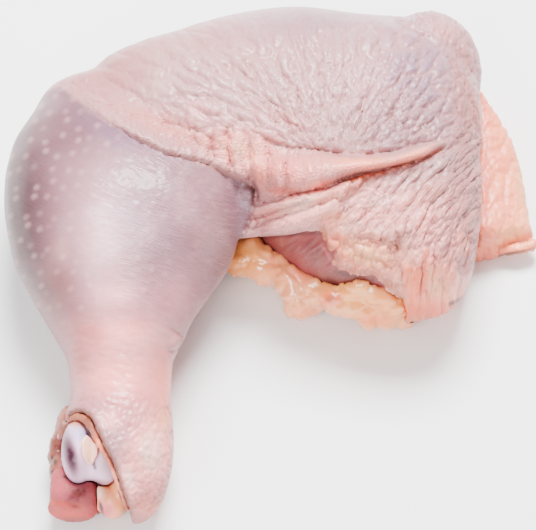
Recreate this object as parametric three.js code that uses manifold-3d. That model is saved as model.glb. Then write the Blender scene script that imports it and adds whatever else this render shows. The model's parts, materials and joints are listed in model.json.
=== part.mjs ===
// A raw chicken leg quarter, skin side up, lying on a table. Millimetres, +Z up.
// The thigh lies at the back right and the drumstick comes forward on the left, so +X runs from
// drumstick to hip and -Y points from the thigh to the cut hock. The origin is on the table,
// under the middle of the piece.
//
// The meat is one core that runs through thigh and drumstick. The skin is a sleeve over it, open
// under the thigh, torn along the front edge, and cut away at the hock, where the end of the
// shin bone shows.

import * as THREE from "three";
import { mergeVertices } from "three/addons/utils/BufferGeometryUtils.js";
import Module from "manifold-3d";

const wasm = await Module();
wasm.setup();

// ---- Driving dimensions -------------------------------------------------------------------

const SKIN = 1.9; // skin with the thin layer of fat under it
const GAP = 0.35; // clearance between touching pieces
const SQUASH = 0.8; // how far the soft underside is pressed flat by the table

// Thigh: a domed cushion. Its plan outline is given by radii at even angles round its centre,
// counter-clockwise from +X.
const THIGH = {
  centre: [8, 28],
  radii: [51, 55.5, 56, 48, 47, 48, 53, 64, 50, 32, 23, 26, 34, 47, 60, 54.5],
  waist: 19, // height of the widest plan outline
  top: 46,
  squareTop: 2.5, // 2 is an ellipse in section, more is boxier
  squareBottom: 4.5,
};

// Drumstick: a pear lying along Y. Each station gives the left and right side, the top and the
// bottom, from the knee to the end of the hock.
const DRUMSTICK = [
  { y: 44, left: -65, right: -26, top: 35, bottom: 5 },
  { y: 33, left: -71, right: -12, top: 40, bottom: 0 },
  { y: 18, left: -73, right: -4.6, top: 45, bottom: 0 },
  { y: 3, left: -71.6, right: -6.2, top: 47, bottom: 0 },
  { y: -11, left: -67.6, right: -13.2, top: 43.5, bottom: 0 },
  { y: -22, left: -59.8, right: -21.4, top: 38, bottom: 1 },
  { y: -31, left: -54.6, right: -25.4, top: 33, bottom: 2 },
  { y: -41, left: -52.2, right: -26.2, top: 30, bottom: 1.5 },
  { y: -53, left: -55.6, right: -25, top: 29, bottom: 0 },
  { y: -64, left: -57.8, right: -25.2, top: 27.5, bottom: 0 },
  { y: -72.5, left: -56, right: -27.5, top: 22, bottom: 0.5 },
];
const KNEE_END = 55; // where the pear closes behind the knee
const HOCK_END = -78.4; // where the skin closes past the hock

// The lump of back meat behind the hip.
const BACK_LUMP = { centre: [45.5, 58.5, 17], radii: [15.2, 18.6, 17.4] };

// Rolls of loose skin over the thigh: plan points of the roll's line, and its radius.
const ROLLS = [
  { at: [[-2, 9], [8, 4.5], [20, 4.5], [33, 9], [46, 17.5]], radius: 3.4, sink: 0.6 },
  { at: [[-4, 6], [6, 0], [17, 0.5], [26, 5]], radius: 3, sink: 0.7 },
  { at: [[-50, 41], [-39, 32], [-28, 24], [-16, 18.5], [-6, 14.5]], radius: 3.2, sink: 0.75 },
];

// The view of the photograph looks down at this angle. The tear and the cut at the hock are
// outlined square to that view: the first number is X, the second runs up the sloping view plane.
// Both are counted from the point of the table that the view is aimed at.
const VIEW_DOWN = THREE.MathUtils.degToRad(60);
const AIM = [0, 6, 0];
const TEAR = [
  [-7, 6.2], [-2, 6.8], [8.6, 7.9], [14.1, 8.7], [16.4, 5.6], [17.8, 1.6], [18.4, -1.2], [20.8, -4],
  [22.8, -6.6], [28.3, -7.1], [33.7, -11.2], [37, -15.6], [34, -26], [3, -26], [-5, -5],
];
const HOCK_CUT = [
  [-52.6, -39.8], [-49.7, -38.3], [-46.5, -38.8], [-44.4, -42.2], [-42.6, -47.5], [-40.2, -54.1],
  [-38.9, -60.7], [-35.5, -71], [-44, -82], [-66, -78], [-62, -57], [-55.6, -53], [-55.2, -46],
];
const TEAR_DEPTH = [-60, 25]; // along the view, from the aim
const HOCK_CUT_DEPTH = [-80, -37];
const UNDERSIDE_SHARE = 0.78; // how much of the thigh's plan is bare of skin underneath

// Fat along the lower edge, under the tear: centres and radii of its lobes.
const FAT_LOBES = [
  { centre: [-7, 5, 7.2], radii: [6, 6.5, 7.4] },
  { centre: [0, 1.5, 7.5], radii: [7, 7, 7.7] },
  { centre: [8, -3, 7], radii: [7.4, 8.5, 7.2] },
  { centre: [16.5, -3.5, 8], radii: [8, 7.5, 8.2] },
  { centre: [25, -6.5, 7.5], radii: [9.5, 8, 7.7] },
  { centre: [33, -9.5, 6.6], radii: [8, 7, 6.8] },
];

// The flap of fatty back skin at the right: plan outline, and the height of its top surface at
// the thigh and at its free edge.
const FLAP = {
  outline: [
    [54, 62], [60, 57.5], [63.5, 51], [67.5, 44], [70.8, 34.5], [71.9, 25], [72, 14.5], [73.8, 12.6],
    [69, 11.6], [64, 9], [58.5, 7.4], [52, 10],
  ],
  rootHeight: 17,
  edgeHeight: 8,
  round: 2.2,
};

// Shin bone: a shaft with a knob of two condyles at the hock.
const SHAFT = { from: [-39, 14, 22], to: [-46.5, -56, 16.5], radius: 4.2, flare: 6.2 };
const CONDYLES = [
  { centre: [-50.3, -60.5, 16.4], radii: [4.6, 9, 8.4] },
  { centre: [-43.4, -61, 15.4], radii: [4.6, 8.4, 8] },
  { centre: [-47, -60.5, 15.2], radii: [6, 7.6, 7] },
];
// The cut head of the foot bone, and the sinews beside it.
const STUMP = { centre: [-51.6, -69.2, 8.2], radii: [6.4, 6.6, 7.6], square: 3 };
const SINEWS = [
  { centre: [-44.6, -69.5, 8.2], radii: [3.8, 4.6, 5.4] },
  { centre: [-41.2, -70.6, 6.6], radii: [4.2, 4.6, 5.4] },
  { centre: [-39.2, -67, 8], radii: [2.8, 6.4, 6] },
];
// A flap of white tendon over the condyles, outlined as the tear is.
const TENDON = [
  [-48, -44.4], [-44.6, -47.4], [-44.8, -50], [-46.6, -53.4], [-48.6, -50.2], [-49.2, -46.8],
];
const TENDON_THICK = 1.4;

// Colours of the layers.
const COLOURS = {
  skin: 0xdcc0bd,
  meat: 0xb47478,
  fat: 0xe8bf95,
  cartilage: 0xc9c8d6,
  marrow: 0xd0757c,
  tendon: 0xe6d8d2,
};

// ---- Helpers ------------------------------------------------------------------------------

const clamp01 = (t) => Math.min(1, Math.max(0, t));

// Cubic through four even samples, at share t between the middle two.
function cubic(a, b, c, d, t) {
  return b + 0.5 * t * (c - a + t * (2 * a - 5 * b + 4 * c - d + t * (3 * (b - c) + d - a)));
}

// A smooth closed radius as a function of the angle, through radii at even angles.
function closedRadius(radii) {
  const n = radii.length;
  return (angle) => {
    const turn = (((angle / (2 * Math.PI)) % 1) + 1) % 1;
    const i = Math.floor(turn * n);
    const at = (k) => radii[(i + k + n) % n];
    return cubic(at(-1), at(0), at(1), at(2), turn * n - i);
  };
}

// A solid from a closed three.js geometry, whatever its seams.
function solidOf(geometry) {
  const bare = geometry.clone();
  bare.deleteAttribute("normal");
  bare.deleteAttribute("uv");
  const merged = mergeVertices(bare, 1e-4);
  return new wasm.Manifold(
    new wasm.Mesh({
      numProp: 3,
      vertProperties: new Float32Array(merged.attributes.position.array),
      triVerts: new Uint32Array(merged.index.array),
    }),
  );
}

// The geometry with every vertex moved by place(vertex), which changes it in hand.
function shaped(geometry, place) {
  const position = geometry.attributes.position;
  const v = new THREE.Vector3();
  for (let i = 0; i < position.count; i++) {
    place(v.fromBufferAttribute(position, i));
    position.setXYZ(i, v.x, v.y, v.z);
  }
  return geometry;
}

function union(solids) {
  return solids.reduce((a, b) => a.add(b));
}

function ellipsoid({ centre, radii, square = 2 }, grow = 0, detail = 3) {
  const power = 2 / square;
  const bend = (c) => Math.sign(c) * Math.abs(c) ** power;
  const ball = shaped(new THREE.IcosahedronGeometry(1, detail), (v) => {
    v.set(
      centre[0] + (radii[0] + grow) * bend(v.x),
      centre[1] + (radii[1] + grow) * bend(v.y),
      centre[2] + (radii[2] + grow) * bend(v.z),
    );
  });
  return solidOf(ball);
}

const lumps = (list, grow = 0, detail = 3) => union(list.map((e) => ellipsoid(e, grow, detail)));

// A column with the given outline, running along the view from one depth to the other.
function sightColumn(outline, [near, far]) {
  const shape = new THREE.Shape(outline.map(([x, up]) => new THREE.Vector2(x, up)));
  const column = new THREE.ExtrudeGeometry(shape, { depth: far - near, bevelEnabled: false });
  column.translate(0, 0, -far).rotateX(Math.PI / 2 - VIEW_DOWN).translate(...AIM);
  return solidOf(column);
}

// The outline with every corner moved out by the given distance, or in where it is negative.
function widened(outline, by) {
  const points = outline.map(([x, y]) => new THREE.Vector2(x, y));
  const outward = THREE.ShapeUtils.isClockWise(points) ? -by : by;
  return points.map((p, i) => {
    const before = points.at(i - 1).clone().sub(p).normalize();
    const after = points[(i + 1) % points.length].clone().sub(p).normalize();
    const along = after.clone().sub(before).normalize();
    const reach = outward / Math.max(0.5, along.dot(after));
    return [p.x + along.y * reach, p.y - along.x * reach];
  });
}

// The largest body of a solid, without the crumbs a cut leaves beside it.
const main = (solid) => solid.decompose().reduce((a, b) => (b.volume() > a.volume() ? b : a));

const table = solidOf(new THREE.BoxGeometry(300, 300, 60).translate(0, 0, -30));

// ---- The body: thigh, drumstick and back lump ---------------------------------------------

const thighRadius = closedRadius(THIGH.radii);

// Unit sphere pushed out to the domed cushion of the thigh, all its sides drawn in by inset.
function thigh(inset, detail) {
  const unit = new THREE.IcosahedronGeometry(1, detail);
  return solidOf(
    shaped(unit, (v) => {
      const above = v.z > 0;
      const power = 2 / (above ? THIGH.squareTop : THIGH.squareBottom);
      const rise = (above ? THIGH.top - THIGH.waist : THIGH.waist + SQUASH) - inset;
      const angle = Math.atan2(v.y, v.x);
      const reach = (thighRadius(angle) - inset) * Math.hypot(v.x, v.y) ** power;
      v.set(
        THIGH.centre[0] + reach * Math.cos(angle),
        THIGH.centre[1] + reach * Math.sin(angle),
        THIGH.waist + rise * Math.sign(v.z) * Math.abs(v.z) ** power,
      );
    }),
  );
}

// Height of the thigh's dome over a plan point.
function thighTop(x, y) {
  const [dx, dy] = [x - THIGH.centre[0], y - THIGH.centre[1]];
  const share = clamp01(Math.hypot(dx, dy) / thighRadius(Math.atan2(dy, dx)));
  const n = THIGH.squareTop;
  return THIGH.waist + (THIGH.top - THIGH.waist) * (1 - share ** n) ** (1 / n);
}

// One side of the drumstick at y, through the stations.
function drumstickSide(side, y) {
  const last = DRUMSTICK.length - 1;
  const below = DRUMSTICK.findIndex((row) => row.y <= y);
  const i = below < 0 ? last : Math.max(1, below);
  const at = (k) => DRUMSTICK[Math.min(last, Math.max(0, k))];
  const t = clamp01((at(i - 1).y - y) / (at(i - 1).y - at(i).y));
  return cubic(at(i - 2)[side], at(i - 1)[side], at(i)[side], at(i + 1)[side], t);
}

// A lathe-turned pear, with its rings then fitted to the stations.
function drumstick(inset, rings, around) {
  const kneeEnd = KNEE_END - inset;
  const hockEnd = HOCK_END + inset;
  const kneeRound = kneeEnd - DRUMSTICK[0].y;
  const hockRound = DRUMSTICK.at(-1).y - hockEnd;
  const profile = [];
  for (let i = 0; i <= rings; i++) {
    const y = hockEnd + (kneeEnd - hockEnd) * (0.5 - 0.5 * Math.cos((Math.PI * i) / rings));
    const nearEnd = clamp01(Math.min((kneeEnd - y) / kneeRound, (y - hockEnd) / hockRound));
    profile.push(new THREE.Vector2(Math.sqrt(1 - (1 - nearEnd) ** 2), y));
  }
  const pear = new THREE.LatheGeometry(profile, around);
  return solidOf(
    shaped(pear, (v) => {
      const [left, right] = [drumstickSide("left", v.y), drumstickSide("right", v.y)];
      const [top, bottom] = [drumstickSide("top", v.y), drumstickSide("bottom", v.y) - SQUASH];
      v.set(
        (left + right) / 2 + v.x * ((right - left) / 2 - inset),
        v.y,
        (top + bottom) / 2 + v.z * ((top - bottom) / 2 - inset),
      );
    }),
  );
}

// A roll of skin: a round strip lying along the thigh's surface, closed by a ball at each end.
function roll({ at, radius, sink }) {
  const onThigh = ([x, y]) => new THREE.Vector3(x, y, thighTop(x, y) - radius * sink);
  const line = new THREE.CatmullRomCurve3(at.map(onThigh));
  const section = new THREE.Shape().absarc(0, 0, radius, 0, 2 * Math.PI);
  const strip = new THREE.ExtrudeGeometry(section, { extrudePath: line, steps: 12, curveSegments: 5 });
  const ends = [0, 1].map((t) => line.getPoint(t).toArray());
  return union([
    solidOf(strip),
    ...ends.map((centre) => ellipsoid({ centre, radii: [radius, radius, radius] }, 0, 1)),
  ]);
}

function body(inset, { fine = false } = {}) {
  return union([
    thigh(inset, fine ? 9 : 6),
    drumstick(inset, fine ? 21 : 15, fine ? 30 : 20),
    ellipsoid(BACK_LUMP, -inset, fine ? 4 : 3),
  ]);
}

// A column through the skin under the thigh, following its plan outline.
function undersideColumn() {
  const shape = new THREE.Shape();
  const sides = 40;
  for (let i = 0; i < sides; i++) {
    const angle = (2 * Math.PI * i) / sides;
    const reach = UNDERSIDE_SHARE * thighRadius(angle);
    const x = THIGH.centre[0] + reach * Math.cos(angle);
    const y = THIGH.centre[1] + reach * Math.sin(angle);
    if (i === 0) shape.moveTo(x, y);
    else shape.lineTo(x, y);
  }
  const depth = THIGH.waist / 2;
  return solidOf(new THREE.ExtrudeGeometry(shape, { depth, bevelEnabled: false }).translate(0, 0, -1));
}

// ---- Hock and flap ------------------------------------------------------------------------

// Shin bone with its condyles, every side moved out by grow.
function shinBone(grow) {
  const [from, to] = [new THREE.Vector3(...SHAFT.from), new THREE.Vector3(...SHAFT.to)];
  const length = from.distanceTo(to);
  const profile = [[0, 0], [1, 0], [1, 0.7], [SHAFT.flare / SHAFT.radius, 1], [0, 1]];
  const points = profile.map(([r, share]) => {
    const past = share === 0 ? -grow : 0;
    return new THREE.Vector2(r * SHAFT.radius + (r > 0 ? grow : 0), share * length + past);
  });
  const shaft = new THREE.LatheGeometry(points, 14);
  const turn = new THREE.Quaternion().setFromUnitVectors(
    new THREE.Vector3(0, 1, 0),
    to.clone().sub(from).normalize(),
  );
  shaft.applyQuaternion(turn).translate(...SHAFT.from);
  return union([solidOf(shaft), lumps(CONDYLES, grow)]);
}

// The flap of back skin: a slab with rounded edges whose top slopes down to the free edge.
function backFlap() {
  const { outline, rootHeight, edgeHeight, round } = FLAP;
  const shape = new THREE.Shape(outline.map(([x, y]) => new THREE.Vector2(x, y)));
  const slab = new THREE.ExtrudeGeometry(shape, {
    depth: edgeHeight - round,
    bevelThickness: round,
    bevelSize: round,
    bevelOffset: -round,
    bevelSegments: 3,
  });
  const xs = outline.map(([x]) => x);
  const [root, edge] = [Math.min(...xs), Math.max(...xs)];
  return solidOf(
    shaped(slab, (v) => {
      const share = clamp01((v.x - root) / (edge - root));
      v.z *= THREE.MathUtils.lerp(rootHeight, edgeHeight, share) / edgeHeight;
    }),
  );
}

// ---- The nodes ----------------------------------------------------------------------------

const leg = new THREE.Group();

function addNode(name, solid, colour, roughness) {
  const { vertProperties, triVerts } = solid.getMesh();
  const geometry = new THREE.BufferGeometry();
  geometry.setAttribute("position", new THREE.BufferAttribute(vertProperties, 3));
  geometry.setIndex(new THREE.BufferAttribute(triVerts, 1));
  geometry.computeVertexNormals();
  const material = new THREE.MeshStandardMaterial({ color: colour, roughness, metalness: 0 });
  const mesh = new THREE.Mesh(geometry, material);
  mesh.name = name;
  leg.add(mesh);
}

// The hock, from the inside out. Each piece keeps the clearance to the ones before it.
const hockColumn = sightColumn(HOCK_CUT, HOCK_CUT_DEPTH);
const bone = shinBone(0);
const boneRoom = shinBone(GAP);
const stump = ellipsoid(STUMP).subtract(boneRoom).subtract(table);
const stumpRoom = boneRoom.add(ellipsoid(STUMP, GAP));
const sinews = main(lumps(SINEWS, 0, 2).subtract(stumpRoom).subtract(table));
const sinewRoom = stumpRoom.add(lumps(SINEWS, GAP, 2));
const tendon = main(
  lumps(CONDYLES, GAP + TENDON_THICK)
    .intersect(sightColumn(TENDON, HOCK_CUT_DEPTH))
    .subtract(lumps(CONDYLES, GAP)),
);
const tendonColumn = sightColumn(widened(TENDON, GAP), HOCK_CUT_DEPTH);
const hockRoom = sinewRoom.add(lumps(CONDYLES, 2 * GAP + TENDON_THICK).intersect(tendonColumn));

const meat = main(body(SKIN + GAP).subtract(hockColumn).subtract(hockRoom));

const tear = sightColumn(TEAR, TEAR_DEPTH);
const outside = union([body(0, { fine: true }), ...ROLLS.map(roll)]);
const openings = union([tear, undersideColumn(), hockColumn, hockRoom, table]);
const skin = main(outside.subtract(body(SKIN)).subtract(openings));

// Fat and back flap keep clear of the whole covered body, but the fat may enter the tear.
const thickRolls = ROLLS.map((r) => roll({ ...r, radius: r.radius + GAP }));
const covered = union([body(-GAP, { fine: true }), ...thickRolls]);
const tearRoom = sightColumn(widened(TEAR, -GAP), TEAR_DEPTH);
const fatRoom = union([covered.subtract(tearRoom), body(SKIN), table]);
const fat = main(lumps(FAT_LOBES, 0, 2).subtract(fatRoom));
const flap = main(backFlap().subtract(covered).subtract(table));

addNode("skin", skin, COLOURS.skin, 0.4);
addNode("meat", meat, COLOURS.meat, 0.35);
addNode("fat", fat, COLOURS.fat, 0.35);
addNode("back_flap", flap, COLOURS.fat, 0.4);
addNode("shin_bone", bone, COLOURS.cartilage, 0.25);
addNode("bone_stump", stump, COLOURS.marrow, 0.35);
addNode("sinews", sinews, COLOURS.fat, 0.35);
addNode("tendon", tendon, COLOURS.tendon, 0.3);

// The origin goes under the middle of the piece, on the table.
const box = new THREE.Box3().setFromObject(leg);
leg.position.set(-(box.min.x + box.max.x) / 2, -(box.min.y + box.max.y) / 2, -box.min.z);

export default leg;
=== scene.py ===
# %% [markdown]
# # A raw chicken leg quarter
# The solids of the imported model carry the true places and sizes. This lesson dresses them: a skin
# with folds, wrinkles and follicles, the meat and the fat in the tear, and the cut end of the
# shin. Everything is in metres, with the piece lying skin side up on the table.

# %% The frame
import json
import math

import bmesh
import bpy
import numpy as np
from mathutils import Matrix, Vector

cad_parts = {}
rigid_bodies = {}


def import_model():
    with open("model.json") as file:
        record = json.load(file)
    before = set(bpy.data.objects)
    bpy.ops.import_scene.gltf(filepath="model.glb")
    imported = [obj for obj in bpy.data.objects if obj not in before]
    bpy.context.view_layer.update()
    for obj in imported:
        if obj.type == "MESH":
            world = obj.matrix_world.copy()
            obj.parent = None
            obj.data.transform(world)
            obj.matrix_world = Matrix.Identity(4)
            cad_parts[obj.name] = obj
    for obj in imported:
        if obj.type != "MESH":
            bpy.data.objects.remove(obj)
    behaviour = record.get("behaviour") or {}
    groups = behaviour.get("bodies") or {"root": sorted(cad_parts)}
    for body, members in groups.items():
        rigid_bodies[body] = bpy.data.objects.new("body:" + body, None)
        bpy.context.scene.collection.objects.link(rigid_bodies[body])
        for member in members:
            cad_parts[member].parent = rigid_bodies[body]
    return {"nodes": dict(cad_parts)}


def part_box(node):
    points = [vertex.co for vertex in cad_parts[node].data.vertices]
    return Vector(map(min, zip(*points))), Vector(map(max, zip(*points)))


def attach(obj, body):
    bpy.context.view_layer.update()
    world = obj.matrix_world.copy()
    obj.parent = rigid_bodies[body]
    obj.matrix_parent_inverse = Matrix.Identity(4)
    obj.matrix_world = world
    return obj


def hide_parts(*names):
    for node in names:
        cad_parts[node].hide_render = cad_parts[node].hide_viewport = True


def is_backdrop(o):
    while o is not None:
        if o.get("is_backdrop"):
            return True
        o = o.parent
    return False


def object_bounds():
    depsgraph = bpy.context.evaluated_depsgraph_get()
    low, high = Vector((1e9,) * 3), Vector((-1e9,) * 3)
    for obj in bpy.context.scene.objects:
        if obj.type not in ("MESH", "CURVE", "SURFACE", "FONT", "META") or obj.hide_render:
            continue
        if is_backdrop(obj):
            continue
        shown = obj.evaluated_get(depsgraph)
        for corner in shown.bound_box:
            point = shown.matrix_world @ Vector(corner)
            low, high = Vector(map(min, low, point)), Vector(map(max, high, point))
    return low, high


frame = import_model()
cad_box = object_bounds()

import openvdb as vdb
from mathutils import Vector

MM = 0.001
print("solids:", sorted(frame["nodes"]))

# %% [markdown]
# ## The view
# The reference picture is 536 by 530 points and looks down at 60 degrees. A point of it stands
# for 0.28 mm at the distance of the aim. Folds and stains are drawn in these points and dropped
# along the sight line until they meet the skin, so each one sits on the surface.

# %% The eye and the camera
DOWN = math.radians(60)
REACH = 900.0  # mm from the eye to the aim
POINT = 0.28  # mm that a picture point stands for
WIDE, HIGH = 536, 530
MIDDLE = (268, 265)
AIM = np.array([-0.56, 6.45, 0.0])
RIGHT = np.array([1.0, 0.0, 0.0])
UP = np.array([0.0, math.sin(DOWN), math.cos(DOWN)])
AHEAD = np.array([0.0, math.cos(DOWN), -math.sin(DOWN)])
EYE = AIM - AHEAD * REACH


def sight(spots):
    """Direction of each sight line, one unit long along AHEAD."""
    spots = np.asarray(spots, float)
    across = (spots[..., 0:1] - MIDDLE[0]) * POINT / REACH
    rise = (MIDDLE[1] - spots[..., 1:2]) * POINT / REACH
    return AHEAD + RIGHT * across + UP * rise


def picture(points):
    """Where points of space (mm) lie in the picture."""
    from_eye = points - EYE
    depth = from_eye @ AHEAD
    return np.stack([MIDDLE[0] + from_eye @ RIGHT / depth * REACH / POINT,
                     MIDDLE[1] - from_eye @ UP / depth * REACH / POINT], -1)


camera = bpy.data.objects.new("camera", bpy.data.cameras.new("camera"))
camera.data.sensor_width = 36
camera.data.lens = camera.data.sensor_width * REACH / (WIDE * POINT)
camera.data.clip_end = 10
camera.location = Vector(EYE * MM)
camera.rotation_euler = (math.pi / 2 - DOWN, 0, 0)
bpy.context.scene.collection.objects.link(camera)
bpy.context.scene.camera = camera
print("camera at", [round(v, 4) for v in camera.location], "lens", round(camera.data.lens, 1))

# %% [markdown]
# ## Light and floor
# A food picture like this is lit by large soft boxes, so the wet skin shows many small soft
# glints and hardly any shadow. One box stands over the back of the piece, a weaker one fills from
# the front left, and a bright sky does the rest.

# %% Light and floor
def softbox(name, place, size, power):
    lamp = bpy.data.objects.new(name, bpy.data.lights.new(name, "AREA"))
    lamp.data.shape = "RECTANGLE"
    lamp.data.size, lamp.data.size_y = size
    lamp.data.energy = power
    lamp.location = place
    lamp.rotation_euler = (-Vector(place)).to_track_quat("-Z", "Y").to_euler()
    bpy.context.scene.collection.objects.link(lamp)


softbox("overhead_box", (0.06, 0.42, 0.72), (0.4, 0.3), 30.0)
softbox("fill_box", (-0.4, -0.7, 0.6), (0.5, 0.5), 13.0)

sky = bpy.data.worlds.new("sky")
sky.use_nodes = True
sky.node_tree.nodes["Background"].inputs["Color"].default_value = (1, 1, 1, 1)
sky.node_tree.nodes["Background"].inputs["Strength"].default_value = 0.95
bpy.context.scene.world = sky

bpy.ops.mesh.primitive_grid_add(x_subdivisions=2, y_subdivisions=2, size=3)
floor = bpy.context.active_object
floor.name = "floor"
board = bpy.data.materials.new("white_board")
board.use_nodes = True
board.node_tree.nodes["Principled BSDF"].inputs["Base Color"].default_value = (0.9, 0.9, 0.9, 1)
board.node_tree.nodes["Principled BSDF"].inputs["Roughness"].default_value = 0.6
floor.data.materials.append(board)
floor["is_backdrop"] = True
print("lights:", [lamp.name for lamp in bpy.data.lights])

# %% [markdown]
# ## From solids to a soft body
# The solids are faceted and skin isn't. Each solid is turned into a field of distances on a fine
# lattice: negative inside, zero on the surface. Fields can be blurred, joined softly and grooved,
# which is what flesh under loose skin needs, and the result is meshed only once.

# %% The lattice
VOXEL = 0.6  # mm from one lattice point to the next
FAR = 6.0  # mm, the distance at which a field stops counting
LATTICE = vdb.createLinearTransform(voxelSize=VOXEL)
FIRST = np.floor(np.array([-80.0, -86.0, -6.0]) / VOXEL).astype(int)
COUNT = np.ceil(np.array([160.0, 172.0, 60.0]) / VOXEL).astype(int)
AXES = [((FIRST[i] + np.arange(COUNT[i])) * VOXEL).astype(np.float32) for i in range(3)]


def merged(node):
    """Vertices (mm) and triangles of a solid, with shared corners merged."""
    mesh = frame["nodes"][node].data
    corners = np.empty(len(mesh.vertices) * 3, np.float32)
    mesh.vertices.foreach_get("co", corners)
    mesh.calc_loop_triangles()
    faces = np.empty(len(mesh.loop_triangles) * 3, np.int32)
    mesh.loop_triangles.foreach_get("vertices", faces)
    points, back = np.unique(np.round(corners.reshape(-1, 3) / MM, 3), axis=0, return_inverse=True)
    return points.astype(np.float32), back.reshape(-1)[faces].reshape(-1, 3).astype(np.uint32)


def field_of(node):
    """The distance from a solid at all lattice points, in mm."""
    points, faces = merged(node)
    grid = vdb.FloatGrid.createLevelSetFromPolygons(
        points, triangles=faces, transform=LATTICE, halfWidth=FAR / VOXEL)
    values = np.empty(tuple(COUNT), np.float32)
    grid.copyToArray(values, ijk=tuple(int(i) for i in FIRST))
    return values


print("lattice of", " by ".join(str(count) for count in COUNT), "points")

# %% [markdown]
# ### Working on fields
# Blurring a field rounds every edge of its surface. The smaller of two fields is their union, and
# the larger of one and the other turned inside out is a cut. A soft version of both fills the
# corner between them, as flesh does where two lobes meet.

# %% Blur, join and cut
def soften(field, half, passes=3):
    """Blurs a field with a few box averages along each axis."""
    width = 2 * half + 1
    for axis in range(3):
        for _ in range(passes):
            pad = [(0, 0)] * 3
            pad[axis] = (half + 1, half)
            total = np.cumsum(np.pad(field, pad, mode="edge"), axis=axis, dtype=np.float64)
            head = [slice(None)] * 3
            tail = [slice(None)] * 3
            head[axis], tail[axis] = slice(width, None), slice(None, -width)
            field = ((total[tuple(head)] - total[tuple(tail)]) / width).astype(np.float32)
    return field


def join(a, b, melt):
    """Soft union of two fields: the smaller one, with the corner filled over `melt` mm."""
    near = np.clip(0.5 + 0.5 * (b - a) / melt, 0, 1)
    return b + (a - b) * near - melt * near * (1 - near)


def cut(a, b, melt):
    """Soft cut: the part of a that is outside b."""
    return -join(-a, b, melt)


print("two surfaces at one place, joined over 3 mm, move out by", -join(0.0, 0.0, 3.0), "mm")

# %% [markdown]
# ### Rods
# Ropes of flesh and rims are lines of round rods, with a radius at each knot. Their field is only
# worked out in the block of the lattice that they lie in, which saves most of the time.

# %% Rods and blocks
def to_line(points, line, radii):
    """Distance from points to a line of round rods, whose radii change from knot to knot."""
    best = np.full(points.shape[:-1], 1e6, np.float32)
    for a, b, ra, rb in zip(line, line[1:], radii, radii[1:]):
        along = (b - a).astype(np.float32)
        t = np.clip((points - a.astype(np.float32)) @ along / float(along @ along), 0, 1)
        gap = np.linalg.norm(points - a.astype(np.float32) - t[..., None] * along, axis=-1)
        best = np.minimum(best, gap - ra - t * (rb - ra))
    return best


def block_of(low, high):
    """The part of the lattice between two corners, and its points."""
    block = tuple(slice(max(0, int(np.searchsorted(AXES[i], low[i]))),
                        int(np.searchsorted(AXES[i], high[i]))) for i in range(3))
    return block, np.stack(np.meshgrid(*(AXES[i][block[i]] for i in range(3)), indexing="ij"), -1)


print("a block of 20 mm has", block_of((0, 0, 0), (20, 20, 20))[1][..., 0].size, "points")

# %% [markdown]
# ### The soft body
# The skin's sleeve and the meat in it are one body here: the skin is later cut from its outer
# layer. The shin runs through it in a channel, drawn as a line of round rods. Blurring takes the
# facets of the solids away, and the table cuts the underside flat.

# %% The soft body
SKIN_DEEP = 1.9  # mm, with the thin fat under it
CLEAR = 0.35  # mm between skin and meat
SHIN_CHANNEL = np.array([  # place and radius of each knot, in mm
    [-39.0, 14.0, 21.0, 7.0], [-42.0, -42.0, 15.0, 11.0], [-41.0, -66.0, 13.5, 10.5]])
skin_solid = field_of("skin")
meat_solid = field_of("meat")
body = np.minimum(skin_solid, meat_solid - SKIN_DEEP - CLEAR)
block, points = block_of((-56, -80, 0), (-25, 25, 32))
channel = to_line(points, SHIN_CHANNEL[:, :3], SHIN_CHANNEL[:, 3])
body[block] = np.minimum(body[block], channel)
body = np.maximum(soften(body, half=2), -AXES[2])
print("body:", body.shape, "volume cm3", round(float((body < 0).sum()) * VOXEL**3 / 1000, 1))

# %% [markdown]
# ## Folds of loose skin
# Folds are drawn on a board that lies across the view, four samples to a picture point. Each
# stroke raises or lowers the board: a roll has steep sides, a crease is a sharp valley between
# soft shoulders, and a lip is high on one side only. The board is then pressed onto the body along
# the sight lines, so every fold lies on the skin whatever its slope.

# %% The drawing board
FINE = 2  # samples to a picture point, across and down
MARGIN = 8  # picture points round the picture
ACROSS = np.arange(-MARGIN * FINE, (WIDE + MARGIN) * FINE) / FINE
DOWNWARD = np.arange(-MARGIN * FINE, (HIGH + MARGIN) * FINE) / FINE
relief = np.zeros((len(DOWNWARD), len(ACROSS)), np.float32)
# The darker colour along creases is partly the skin's own pinker tone in its folds, partly painted shade.
crease_shade_board = np.zeros_like(relief)  # where creases run, for their darker colour
print("board:", relief.shape[1], "by", relief.shape[0], "samples")

# %% [markdown]
# ### Lines on the board
# A stroke is given by a few knots. A smooth line is drawn through them, and each sample near it is
# told how far it lies beside the line, with a sign for the side, and what the knots' third number
# is there. Every kind of stroke is then a short formula.

# %% Lines on the board
def smooth_line(knots, step=3.0):
    """A smooth line through knots of any width, with a point every few steps."""
    knots = np.array([tuple(k) + (1.0,) * (3 - len(k)) for k in knots])
    ends = np.vstack([2 * knots[0] - knots[1], knots, 2 * knots[-1] - knots[-2]])
    parts = []
    for a, b, c, d in zip(ends, ends[1:], ends[2:], ends[3:]):
        count = max(2, int(np.linalg.norm((c - b)[:2]) / step) + 1)
        t = np.linspace(0, 1, count, endpoint=False)[:, None]
        parts.append(b + 0.5 * t * (c - a + t * (2 * a - 5 * b + 4 * c - d + t * (3 * (b - c) + d - a))))
    return np.vstack(parts + [knots[-1:]])


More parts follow.
